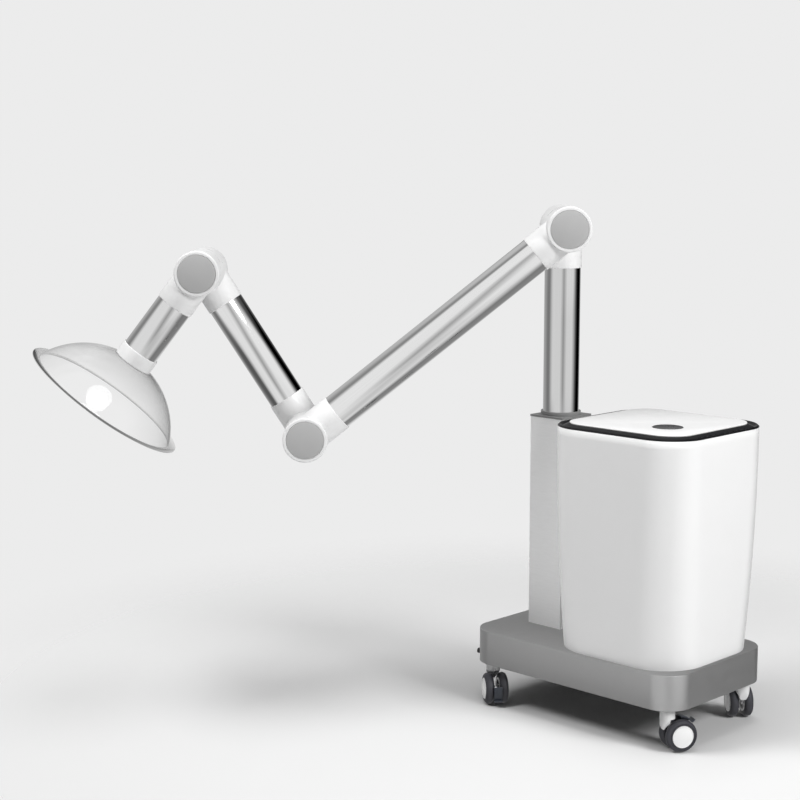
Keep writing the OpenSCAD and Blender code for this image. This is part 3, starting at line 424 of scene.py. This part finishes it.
castor_turn = {"front": 60.7, "left": -37.1, "right": 139.1, "back": 100}
castor_place = {name: Matrix.Translation((*joints[f"castor_{name}_swivel"]["pos_m"][:2], 0))
                @ Matrix.Rotation(radians(turn), 4, "Z") for name, turn in castor_turn.items()}
trail = 0.023
wheel_radius = 0.0325
axle_place = Matrix.Translation((trail, 0, wheel_radius))
stem_radius = 0.0043
stem_foot = 0.0577
axle_radius = 0.0039
axle_half = 0.02
fork_top = 0.083
head_radius = 0.015
head_foot = 0.044
cut_foot, cut_top, cut_out = 0.043, 0.066, 0.03
room_radius = 0.034
fin_middle = (0.0513, 0.066)
fin_radius = 0.065
fork_nylon = moulded("fork_nylon", (0.78, 0.78, 0.78), 0.3, shade=0.03, coat=0.2)
for name, place in castor_place.items():
    shape = turned([(stem_radius, fork_top), (0.013, fork_top), (0.0143, fork_top - 0.0006),
                    (head_radius, fork_top - 0.0022), (head_radius, head_foot), (0, head_foot),
                    (0, stem_foot), (stem_radius, stem_foot)], steps=64)
    behind = plate([(0, cut_foot), (cut_out, cut_foot), (cut_out, cut_top), (0, cut_top)], cut_out)
    wheel_room = plate(arc((trail, wheel_radius), room_radius, 0, 354, 59), cut_out)
    slant = plate([(-0.016, cut_top), (-0.0105, head_foot), (-0.0105, cut_foot), (-cut_out, cut_foot),
                   (-cut_out, cut_top)], cut_out)
    for cut in (behind, wheel_room, slant):
        shape = carved(shape, cut)
    for side in (-1, 1):
        flank = plate([(side*0.016, cut_top), (side*0.0053, head_foot), (side*0.0053, cut_foot),
                       (side*cut_out, cut_foot), (side*cut_out, cut_top)], cut_out)
        shape = carved(shape, moved(flank, Matrix.Rotation(pi/2, 4, "Z")))
    fin = plate([(0.0149, 0.067), (trail + 0.002, 0.0455), (trail + 0.012, wheel_radius),
                 (trail + 0.003, 0.0115), (trail - 0.001, 0.0085)]
                + arc(fin_middle, fin_radius, 241, 180, 24), 0.0051, rounding=0.0018)
    shape = carved(shape, fin, "UNION")
    axle = turned([(0, -axle_half), (axle_radius, -axle_half), (axle_radius, axle_half), (0, axle_half)],
                  steps=32)
    moved(axle, axle_place @ Matrix.Rotation(pi/2, 4, "X"))
    fork = finished(f"castor_{name}_fork_body", shape, fork_nylon, place)
    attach(fork, f"castor_{name}")
    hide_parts(f"castor_{name}_fork")
    pin = finished(f"castor_{name}_axle_pin", axle, stem_zinc, place)
    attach(pin, f"castor_{name}")

# Castor wheels: a soft dark grey tyre with a rounded tread and a fine groove,
# and a glossy white hub cap that closes the wheel's outer face.
tyre_rubber = moulded("tyre_rubber", (0.042, 0.042, 0.050), 0.5, shade=0.15, grain=500, depth=0.00003)
hub_gloss = moulded("hub_gloss", (0.86, 0.86, 0.86), 0.16, shade=0.02, coat=0.3)
hub_bore = 0.0043
hub_radius = 0.0220
tread_round = 0.0082
tread_middle = 0.0243
wheel_inset = 0.006
for name, place in castor_place.items():
    for letter, side in (("a", -1), ("b", 1)):
        wheel_place = (place @ Matrix.Translation((trail, side*wheel_inset, wheel_radius))
                       @ Matrix.Rotation(-side*pi/2, 4, "X"))
        shape = turned([(0.0222, 0.0002), (0.0250, 0.0)]
                       + arc((tread_middle, tread_round), tread_round, -80, -15, 6)
                       + [(wheel_radius, 0.0085), (wheel_radius, 0.0105)]
                       + arc((tread_middle, 0.0098), tread_round, 15, 75, 6)
                       + [(0.0262, 0.0178), (0.0258, 0.0168), (0.0250, 0.0168), (0.0246, 0.0179),
                          (0.0232, 0.0179), (0.0222, 0.0172)])
        tyre = finished(f"castor_{name}_tyre_ring_{letter}", shape, tyre_rubber, wheel_place, crisp=60)
        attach(tyre, f"wheel_{name}_{letter}")
        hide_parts(f"castor_{name}_tyre_{letter}")
        shape = turned([(hub_bore, 0.0), (0.0085, 0.0), (0.0085, 0.0135), (0.0178, 0.0135), (0.0178, 0.0),
                        (hub_radius, 0.0), (hub_radius, 0.0182), (0.0214, 0.0188), (0.0203, 0.0186),
                        (0.0198, 0.0182)]
                       + [(0.0195 - 0.0013*step, 0.0184 + 0.0018*sin(pi/2*step/15)) for step in range(15)]
                       + [(0, 0.0202), (0, 0.0152), (hub_bore, 0.0152)])
        hub = finished(f"castor_{name}_hub_cap_{letter}", shape, hub_gloss, wheel_place)
        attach(hub, f"wheel_{name}_{letter}")
        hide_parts(f"castor_{name}_hub_{letter}")

# Brake pedals: dark blue-grey nylon. Two cheeks hold each on the axle, and it
# ends in a curved panel over the wheels with a lip for the toe. One is up, one down.
pedal_nylon = moulded("pedal_nylon", (0.036, 0.042, 0.055), 0.38, shade=0.1)
axle_middle = (0, 0)
panel_half = 0.0089
for name, rise in (("front", 63), ("left", -6)):
    tip = plate(arc(axle_middle, 0.0343, 24.5, -24.5, 20) + arc(axle_middle, 0.0370, -24.5, 24.5, 20),
                panel_half, rounding=0.0008)
    lip = plate(arc(axle_middle, 0.0350, -20, -24.8, 3) + arc(axle_middle, 0.0428, -24.8, -20, 3),
                panel_half - 0.0001, rounding=0.0011)
    tip = carved(tip, lip, "UNION")
    neck = plate(arc(axle_middle, 0.0125, 11, 349, 32) + arc(axle_middle, 0.0355, -11, 11, 4),
                 0.005, rounding=0.0006)
    slot = plate(arc(axle_middle, 0.0165, 0, 345, 23), 0.0034)
    bore = plate(arc(axle_middle, 0.0043, 0, 345, 23), 0.02)
    shape = carved(carved(carved(tip, neck, "UNION"), slot), bore)
    pedal = finished(f"castor_{name}_pedal_lever", shape, pedal_nylon,
                     castor_place[name] @ axle_place @ Matrix.Rotation(radians(-rise), 4, "Y"))
    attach(pedal, f"pedal_{name}")
    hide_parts(f"castor_{name}_pedal")

# Column: a rectangular aluminium section, brushed across to a fine silver sparkle.
# It stands on the platform and carries the arm.
def drawn_metal(name, direction, roughness, tone, spread=0.05, squash=0.012, metallic=1.0, depth=0.00001):
    """Aluminium with fine lines along that direction"""
    material = bpy.data.materials.new(name)
    material.use_nodes = True
    links = material.node_tree.links
    surface = material.node_tree.nodes["Principled BSDF"]
    surface.inputs["Metallic"].default_value = metallic
    place = shader_node(material, "ShaderNodeTexCoord")
    along = shader_node(material, "ShaderNodeMapping")
    along.vector_type = "POINT"
    turn = Vector(direction).rotation_difference(Vector((0, 0, 1)))
    along.inputs["Rotation"].default_value = turn.to_euler()
    links.new(place.outputs["Object"], along.inputs["Vector"])
    squeeze = shader_node(material, "ShaderNodeMapping", Scale=(1, 1, squash))
    links.new(along.outputs["Vector"], squeeze.inputs["Vector"])
    lines = shader_node(material, "ShaderNodeTexNoise", Scale=420, Detail=5, Roughness=0.65)
    links.new(squeeze.outputs["Vector"], lines.inputs["Vector"])
    tint = shader_node(material, "ShaderNodeMix")
    tint.data_type = "RGBA"
    tint.inputs[6].default_value = (*[tone*(1 - spread)]*3, 1)
    tint.inputs[7].default_value = (*[min(1, tone*(1 + spread))]*3, 1)
    links.new(lines.outputs["Fac"], tint.inputs[0])
    links.new(tint.outputs[2], surface.inputs["Base Color"])
    gloss = shader_node(material, "ShaderNodeMapRange", From_Min=0.3, From_Max=0.7,
                        To_Min=roughness - 0.03, To_Max=roughness + 0.03)
    links.new(lines.outputs["Fac"], gloss.inputs["Value"])
    links.new(gloss.outputs["Result"], surface.inputs["Roughness"])
    relief = shader_node(material, "ShaderNodeBump", Strength=0.5, Distance=depth)
    links.new(lines.outputs["Fac"], relief.inputs["Height"])
    links.new(relief.outputs["Normal"], surface.inputs["Normal"])
    return material


column_low, column_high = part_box("column")
column_half = (column_high - column_low)/2
column_wall = 0.0025
column_corner = 0.0016
column_silver = drawn_metal("column_silver", (1, 0, 0), 0.35, 1.0, spread=0.14, squash=0.10, metallic=0.0,
                            depth=0.0002)
shape = bmesh.new()
base_face = add_rounded_face(shape, column_half.x, column_half.y, column_corner, column_low.z, steps=4)
base_ring = bmesh.ops.inset_region(shape, faces=[base_face], thickness=column_wall,
                                   use_even_offset=True, use_boundary=True)["faces"]
bmesh.ops.delete(shape, geom=[base_face], context="FACES")
grow(shape, base_ring, (0, 0, 2*column_half.z))
column = finished("column_section", shape, column_silver)
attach(column, "base")
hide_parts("column")

# Flange plate and swivel ring: a grey painted plate that closes the column's top,
# and the moulded ring of the bush in which the post turns.
flange_low, flange_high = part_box("flange_plate")
flange_half = (flange_high - flange_low)/2
flange_paint = moulded("flange_paint", (0.22, 0.22, 0.22), 0.4, shade=0.05)
shape = bmesh.new()
flange_face = add_rounded_face(shape, flange_half.x, flange_half.y, column_corner, flange_low.z, steps=4)
grow(shape, [flange_face], (0, 0, 2*flange_half.z))
bmesh.ops.recalc_face_normals(shape, faces=shape.faces)
round_edges(shape, 0.0006, segments=2, angle=60)
hole_radius = 0.0409
hole = turned([(0, flange_low.z - 0.01), (hole_radius, flange_low.z - 0.01),
               (hole_radius, flange_high.z + 0.01), (0, flange_high.z + 0.01)])
flange = finished("flange_plate_body", carved(shape, hole), flange_paint)
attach(flange, "base")
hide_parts("flange_plate")

bush_low, bush_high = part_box("swivel_bush")
bush_moulding = moulded("bush_moulding", (0.24, 0.24, 0.24), 0.45, shade=0.05)
bush_bore = 0.0378
bush_radius = 0.0408
ring_radius = 0.042
lip_bore = 0.0355
lip_top = bush_low.z + 0.0025
shape = turned([(bush_bore, bush_high.z), (bush_bore, lip_top), (lip_bore, lip_top), (lip_bore, bush_low.z),
                (bush_radius, bush_low.z), (bush_radius, flange_high.z), (ring_radius, flange_high.z),
                (ring_radius, bush_high.z)], steps=128)
round_edges(shape, 0.0005, segments=2, angle=60)
bush = finished("swivel_bush_ring", shape, bush_moulding)
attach(bush, "base")
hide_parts("swivel_bush")


# Tubes: drawn and polished aluminium, 75 mm wide with a 1.5 mm wall, which carry
# the air. Fine drawing lines run along each of them.
tube_radius = 0.0375
tube_bore = 0.036
arm_turn = radians(224.7)
plane_gap = 0.09
socket_stop = 0.052
boom_rise, forearm_rise, hood_rise = -38.7, 57.6, -53
hood_tube_end = 0.2219


def aim(rise):
    """Turns +Z to a direction in the arm's plane, by its rise above level"""
    return Matrix.Rotation(radians(90 - rise), 4, "Y")


hinge = {name: Matrix.Translation(joints[name]["pos_m"]) @ Matrix.Rotation(arm_turn, 4, "Z")
         for name in ("shoulder", "elbow", "wrist")}
front_plane = Matrix.Translation((0, plane_gap, 0))
boom_length = (hinge["elbow"].translation - hinge["shoulder"].translation).length
forearm_length = (hinge["wrist"].translation - hinge["elbow"].translation).length
shoulder_z = 1.002
post_foot = bush_low.z + 0.0028
post_end = shoulder_z - socket_stop - post_foot
hood_place = hinge["wrist"] @ front_plane @ aim(hood_rise)
tube_plan = (
    ("post_tube", "post", Matrix.Translation((0, 0, post_foot)), 0, post_end, 0.09, 0.75),
    ("boom_tube", "boom", hinge["shoulder"] @ front_plane @ aim(boom_rise), socket_stop,
     boom_length - socket_stop, 0.09, 0.94),
    ("forearm_tube", "forearm", hinge["elbow"] @ aim(forearm_rise), socket_stop,
     forearm_length - socket_stop, 0.08, 0.90),
    ("hood_tube", "hood_arm", hood_place, socket_stop, hood_tube_end, 0.10, 0.84),
)
for node, body, place, start, end, roughness, tone in tube_plan:
    metal = drawn_metal(f"{node}_metal", place.to_3x3() @ Vector((0, 0, 1)), roughness, tone)
    shape = turned([(tube_bore, start), (tube_radius, start), (tube_radius, end), (tube_bore, end)],
                   steps=160)
    round_edges(shape, 0.0003, segments=2, angle=60)
    tube = finished(f"{node}_drawn", shape, metal, place)
    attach(tube, body)
    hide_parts(node)

# Arm joints: each is two moulded white halves that turn on each other, every
# half a round barrel with a socket for its tube and a recess for a cap.
joint_white = moulded("joint_white", (0.84, 0.84, 0.84), 0.3, shade=0.02, coat=0.25)
on_hinge = Matrix.Rotation(radians(-90), 4, "X")
front_side = front_plane @ Matrix.Scale(-1, 4, (0, 1, 0))
barrel_radius = 0.046
barrel_half = 0.045
barrel_round = 0.003
socket_radius = 0.0395
socket_end = 0.084
socket_bore = 0.03765
throat_radius = 0.032
throat_start = 0.038
chamber_radius = 0.042
chamber_floor = 0.034
spigot_radius = 0.0417
spigot_bore = 0.0387
spigot_foot, spigot_end = 0.0367, 0.0547
cap_radius = 0.0385
recess_floor = 0.037
joint_plan = (
    ("shoulder_rear", "post", "shoulder", -90), ("shoulder_front", "boom", "shoulder", boom_rise),
    ("elbow_rear", "forearm", "elbow", forearm_rise), ("elbow_front", "boom", "elbow", 180 + boom_rise),
    ("wrist_rear", "forearm", "wrist", 180 + forearm_rise),
    ("wrist_front", "hood_arm", "wrist", hood_rise),
)
for name, body, where, rise in joint_plan:
    front = name.endswith("front")
    barrel = turned([(0, -barrel_half), (barrel_radius - barrel_round, -barrel_half)]
                    + arc((barrel_radius - barrel_round, barrel_round - barrel_half), barrel_round, -75, 0, 5)
                    + [(barrel_radius, barrel_half - 0.0008), (barrel_radius - 0.0005, barrel_half - 0.0003),
                       (0, barrel_half - 0.0003)], steps=128)
    socket = turned([(0, 0), (socket_radius, 0), (socket_radius, 0.0826), (0.0391, 0.0836),
                     (0.0384, socket_end), (0, socket_end)], steps=128)
    shape = carved(moved(barrel, on_hinge), moved(socket, aim(rise)), "UNION")
    recess = turned([(0, -barrel_half - 0.01), (cap_radius + 0.0012, -barrel_half - 0.01),
                     (cap_radius + 0.0012, -barrel_half), (cap_radius + 0.0003, -barrel_half + 0.0009),
                     (cap_radius + 0.0003, -recess_floor), (0, -recess_floor)], steps=128)
    chamber = turned([(0, -chamber_floor), (chamber_radius, -chamber_floor), (chamber_radius, 0.06), (0, 0.06)])
    bore = turned([(0, throat_start), (throat_radius, throat_start), (throat_radius, socket_stop),
                   (socket_bore, socket_stop), (socket_bore, 0.1), (0, 0.1)], steps=128)
    for cut, place in ((recess, on_hinge), (chamber, on_hinge), (bore, aim(rise))):
        shape = carved(shape, moved(cut, place))
    if front:
        spigot = turned([(spigot_bore, spigot_foot), (chamber_radius + 0.0002, spigot_foot),
                         (chamber_radius + 0.0002, 0.0445), (spigot_radius, 0.0447),
                         (spigot_radius, spigot_end), (spigot_bore, spigot_end)])
        shape = carved(shape, moved(spigot, on_hinge), "UNION")
    place = hinge[where] @ front_side if front else hinge[where]
    half = finished(f"{name}_shell", shape, joint_white, place)
    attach(half, body)
    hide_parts(f"{name}_half")

# Joint caps: flat moulded grey discs that click into the recesses and cover the
# ends of the spindles.
cap_grey = moulded("cap_grey", (0.45, 0.45, 0.45), 0.42, shade=0.03, grain=1600)
cap_face = -barrel_half - 0.0006
cap_back = cap_face + 0.0025
cap_bore = cap_radius - 0.0024
for name, body, where, _ in joint_plan:
    shape = turned([(0, cap_face), (cap_radius - 0.0012, cap_face), (cap_radius - 0.0004, cap_face + 0.0003),
                    (cap_radius, cap_face + 0.0012), (cap_radius, -recess_floor), (cap_bore, -recess_floor),
                    (cap_bore, cap_back), (0, cap_back)], steps=128)
    place = hinge[where] @ front_side if name.endswith("front") else hinge[where]
    cap = finished(f"{name}_cap_disc", moved(shape, on_hinge), cap_grey, place)
    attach(cap, body)
    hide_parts(f"{name}_cap")

# Spindles: turned steel bolts with a friction washer and a nut, one through each
# joint. They hold the arm where it is left.
for node in ("shoulder_spindle", "elbow_spindle", "wrist_spindle"):
    dress(node, stem_zinc)

# Hood collar: a moulded white sleeve on the tube's end. Its neck goes through
# the dome's crown and a ring nut holds the dome from inside.
collar_top = 0.2005
collar_radius = 0.0408
collar_bore = 0.0378
neck_radius = 0.03505
neck_bore = 0.0322
neck_seat = 0.2222
nut_radius = 0.0412
nut_low, nut_high = 0.2295, 0.2305
crown = 0.224
dome_radius = 0.1765
dome_wall = 0.003
dome_middle = crown + dome_radius


def dome_height(radius, sphere):
    """Height of a sphere around the dome's middle at that distance from its axis"""
    return dome_middle - sqrt(sphere**2 - radius**2)


outer_gap = dome_radius + 0.00015
inner_gap = dome_radius - dome_wall - 0.00015
shape = turned([(collar_bore, collar_top + 0.0006), (0.0384, collar_top), (0.0398, collar_top),
                (0.0406, collar_top + 0.0008), (collar_radius, collar_top + 0.002),
                (collar_radius, dome_height(collar_radius, outer_gap)),
                (neck_radius, dome_height(neck_radius, outer_gap)),
                (neck_radius, dome_height(neck_radius, inner_gap)),
                (nut_radius, dome_height(nut_radius, inner_gap)), (nut_radius, nut_low), (0.0402, nut_high),
                (0.0332, nut_high), (neck_bore, nut_low), (neck_bore, neck_seat), (collar_bore, neck_seat)],
               steps=128)
collar = finished("hood_collar_sleeve", shape, joint_white, hood_place)
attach(collar, "hood")
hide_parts("hood_collar")

# Dome: clear moulded plastic, 3 mm thick, a cap of a sphere that ends in a flat
# flange. It turns on the hood tube.
dome_plastic = bpy.data.materials.new("dome_plastic")
dome_plastic.use_nodes = True
dome_links = dome_plastic.node_tree.links
dome_surface = dome_plastic.node_tree.nodes["Principled BSDF"]
dome_surface.inputs["Base Color"].default_value = (1, 1, 1, 1)
dome_surface.inputs["Transmission Weight"].default_value = 1.0
dome_surface.inputs["IOR"].default_value = 1.49
dome_spot = shader_node(dome_plastic, "ShaderNodeTexCoord")
dome_haze = shader_node(dome_plastic, "ShaderNodeTexNoise", Scale=30, Detail=6)
dome_links.new(dome_spot.outputs["Object"], dome_haze.inputs["Vector"])
dome_gloss = shader_node(dome_plastic, "ShaderNodeMapRange", From_Min=0.4, From_Max=0.7,
                         To_Min=0.01, To_Max=0.035)
dome_links.new(dome_haze.outputs["Fac"], dome_gloss.inputs["Value"])
dome_links.new(dome_gloss.outputs["Result"], dome_surface.inputs["Roughness"])
dome_mouth = crown + 0.102
dome_hole = 0.0352
flange_radius = 0.1755
flange_foot = dome_mouth + 0.0022


def dome_angle(radius, sphere):
    """Angle of a point of a sphere at that distance from its axis, in degrees"""
    return -90 + degrees(asin(radius/sphere))


outer_base = sqrt(dome_radius**2 - (dome_middle - dome_mouth)**2)
inner_sphere = dome_radius - dome_wall
inner_base = sqrt(inner_sphere**2 - (dome_middle - flange_foot)**2)
outer_arc = arc((0, dome_middle), dome_radius, dome_angle(dome_hole, dome_radius),
                dome_angle(outer_base, dome_radius), 40)
inner_arc = arc((0, dome_middle), inner_sphere, dome_angle(inner_base, inner_sphere),
                dome_angle(dome_hole, inner_sphere), 40)
shape = turned(outer_arc + [(flange_radius, dome_mouth), (flange_radius, flange_foot)] + inner_arc, steps=192)
round_edges(shape, 0.0006, angle=40)
dome = finished("hood_dome_clear", shape, dome_plastic, hood_place, crisp=40)
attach(dome, "hood")
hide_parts("hood_dome")

# Canister: a glossy white moulded tub that narrows and bows towards its foot.
# It stands on the platform and holds the filters and the fan.
canister_low, canister_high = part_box("canister_shell")
canister_x = 0.251
canister_top_half = 0.166
canister_foot_half = 0.157
canister_bow = 0.0036
canister_top_corner = 0.080
canister_foot_corner = 0.095
canister_rise = 0.455
canister_wall = 0.004
canister_gloss = moulded("canister_gloss", (0.84, 0.84, 0.84), 0.2, shade=0.012, grain=2200, depth=0.000004,
                         coat=0.4)
shape = bmesh.new()
levels = 28
rings = []
for level in range(levels + 1):
    height = canister_low.z + (canister_high.z - canister_low.z)*level/levels
    share = (height - canister_low.z)/canister_rise
    half = (canister_foot_half + (canister_top_half - canister_foot_half)*share
            + 4*canister_bow*share*(1 - share))
    corner = canister_foot_corner + (canister_top_corner - canister_foot_corner)*share
    face = add_rounded_face(shape, half, half, corner, height, steps=20)
    rings.append(list(face.edges))
    if level:
        bmesh.ops.delete(shape, geom=[face], context="FACES_ONLY")
for lower, upper in zip(rings, rings[1:]):
    bmesh.ops.bridge_loops(shape, edges=lower + upper)
bmesh.ops.recalc_face_normals(shape, faces=shape.faces)
canister = finished("canister_tub", shape, canister_gloss, Matrix.Translation((canister_x, 0, 0)))
thickness = canister.modifiers.new("wall", "SOLIDIFY")
thickness.thickness = canister_wall
thickness.offset = -1
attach(canister, "base")
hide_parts("canister_shell")

# Rim: a satin black moulded frame in the tub's mouth, with a thin lip on its edge
# and a dished gutter round the lid that has the air outlets in it.
lid_inset = 0.0245
lid_corner = 0.054
rim_black = moulded("rim_black", (0.008, 0.008, 0.009), 0.34, shade=0.15, shine=0.18)
rim_high = canister_low.z + canister_rise
lid_high = rim_high + 0.007
step_high = lid_high - 0.0034
rim_foot = rim_high - 0.009
rim_profile = [(0, canister_high.z), (0, rim_high - 0.0003), (0.0004, rim_high), (0.0034, rim_high + 0.0026),
               (0.0044, rim_high + 0.0024), (0.011, rim_high - 0.0016), (0.0198, rim_high + 0.0022),
               (0.0212, rim_high + 0.0026), (lid_inset - 0.0004, step_high),
               (lid_inset + 0.0033, step_high), (lid_inset + 0.0033, rim_foot), (0.0046, rim_foot),
               (0.0046, canister_high.z)]
shape = bmesh.new()
rings = []
for inset, height in rim_profile:
    half = canister_top_half - inset
    corner = canister_top_corner - inset*(canister_top_corner - lid_corner)/lid_inset
    face = add_rounded_face(shape, half, half, corner, height, steps=20)
    rings.append(list(face.edges))
    bmesh.ops.delete(shape, geom=[face], context="FACES_ONLY")
for lower, upper in zip(rings, rings[1:] + rings[:1]):
    bmesh.ops.bridge_loops(shape, edges=lower + upper)
bmesh.ops.recalc_face_normals(shape, faces=shape.faces)
outlets = bmesh.new()
slots = 9
slot_row = 0.172
for quarter in range(4):
    for spot in range(slots):
        hole = bmesh.ops.create_cube(outlets, size=1)
        along = (spot - slots//2)*slot_row/slots
        bmesh.ops.transform(outlets, verts=hole["verts"],
                            matrix=Matrix.Rotation(quarter*pi/2, 4, "Z")
                            @ Matrix.Translation((canister_top_half - 0.011, along, rim_high))
                            @ Matrix.Diagonal((0.009, 0.007, 0.04, 1)))
rim = finished("canister_rim_frame", carved(shape, outlets), rim_black,
               Matrix.Translation((canister_x, 0, 0)))
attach(rim, "base")
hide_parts("canister_rim")

# Lid: a glossy white plate that lies in the rim and lifts off. A skirt centres
# it, and a cup below it holds the control button.
lid_half = canister_top_half - lid_inset
lid_thick = 0.003
skirt_inset = 0.0036
skirt_thick = 0.003
skirt_deep = 0.014
cup_foot = lid_high - 0.017
cup_floor = lid_high - 0.014
button_radius = 0.0304
button_x, button_y = 0.0555, -0.0455
lid_gloss = moulded("lid_gloss", (0.84, 0.84, 0.84), 0.2, shade=0.012, grain=2200, depth=0.000004, shine=0.15)
shape = bmesh.new()
lid_face = add_rounded_face(shape, lid_half, lid_half, lid_corner, lid_high - lid_thick, steps=20)
grow(shape, [lid_face], (0, 0, lid_thick))
bmesh.ops.recalc_face_normals(shape, faces=shape.faces)
round_edges(shape, 0.0012, segments=4, angle=60)
skirt = bmesh.new()
skirt_half = lid_half - skirt_inset
skirt_face = add_rounded_face(skirt, skirt_half, skirt_half, lid_corner - skirt_inset, lid_high - lid_thick,
                              steps=20)
skirt_ring = bmesh.ops.inset_region(skirt, faces=[skirt_face], thickness=skirt_thick, use_even_offset=True,
                                    use_boundary=True)["faces"]
bmesh.ops.delete(skirt, geom=[skirt_face], context="FACES")
grow(skirt, skirt_ring, (0, 0, -skirt_deep))
bmesh.ops.recalc_face_normals(skirt, faces=skirt.faces)
bmesh.ops.translate(skirt, vec=(0, 0, 0.0005), verts=skirt.verts)
shape = carved(shape, skirt, "UNION")
cup_radius = button_radius + 0.0033
well_radius = button_radius + 0.0003
mouth_radius = button_radius + 0.0011
cup = turned([(0, cup_foot), (cup_radius, cup_foot), (cup_radius, lid_high - 0.0015),
              (0, lid_high - 0.0015)])
well = turned([(0, cup_floor), (well_radius, cup_floor), (well_radius, lid_high - 0.0008),
               (mouth_radius, lid_high), (mouth_radius, lid_high + 0.01), (0, lid_high + 0.01)])
for part in (cup, well):
    bmesh.ops.translate(part, vec=(button_x, button_y, 0), verts=part.verts)
shape = carved(carved(shape, cup, "UNION"), well)
lid = finished("canister_lid_plate", shape, lid_gloss, Matrix.Translation((canister_x, 0, 0)))
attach(lid, "lid")
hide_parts("canister_lid")

# Control button: a dished dark disc, flush with the lid, with a foot that ends
# its travel in the cup.
button_low, button_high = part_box("control_button")
button_dark = moulded("button_dark", (0.030, 0.030, 0.032), 0.3, shade=0.1, coat=0.1)
face = button_high.z
button_foot = button_low.z + 0.0003
foot_radius = 0.0152
shape = turned([(0, face - 0.0007), (0.010, face - 0.00062), (0.020, face - 0.00038), (0.0280, face - 0.0001),
                (0.0290, face), (0.0298, face - 0.0002), (button_radius, face - 0.0009),
                (button_radius, face - 0.003), (foot_radius, face - 0.003), (foot_radius, button_foot),
                (0, button_foot)])
button = finished("control_button_disc", shape, button_dark,
                  Matrix.Translation((canister_x + button_x, button_y, 0)), crisp=45)
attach(button, "button")
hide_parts("control_button")

# Filters and fan: a pleated paper filter and a block of carbon granules below,
# and above them a plain metal plate with the motor and its black impeller.
dress("particle_filter", moulded("filter_paper", (0.74, 0.71, 0.62), 0.9, shade=0.06, grain=260,
                                 depth=0.0003))
dress("carbon_filter", moulded("carbon_granules", (0.03, 0.03, 0.032), 0.8, shade=0.35, grain=240,
                               depth=0.0008))
dress("fan_frame", moulded("fan_sheet", (0.55, 0.56, 0.57), 0.35, shade=0.06, metallic=1.0))
dress("impeller", moulded("impeller_nylon", (0.05, 0.05, 0.055), 0.42, shade=0.1))
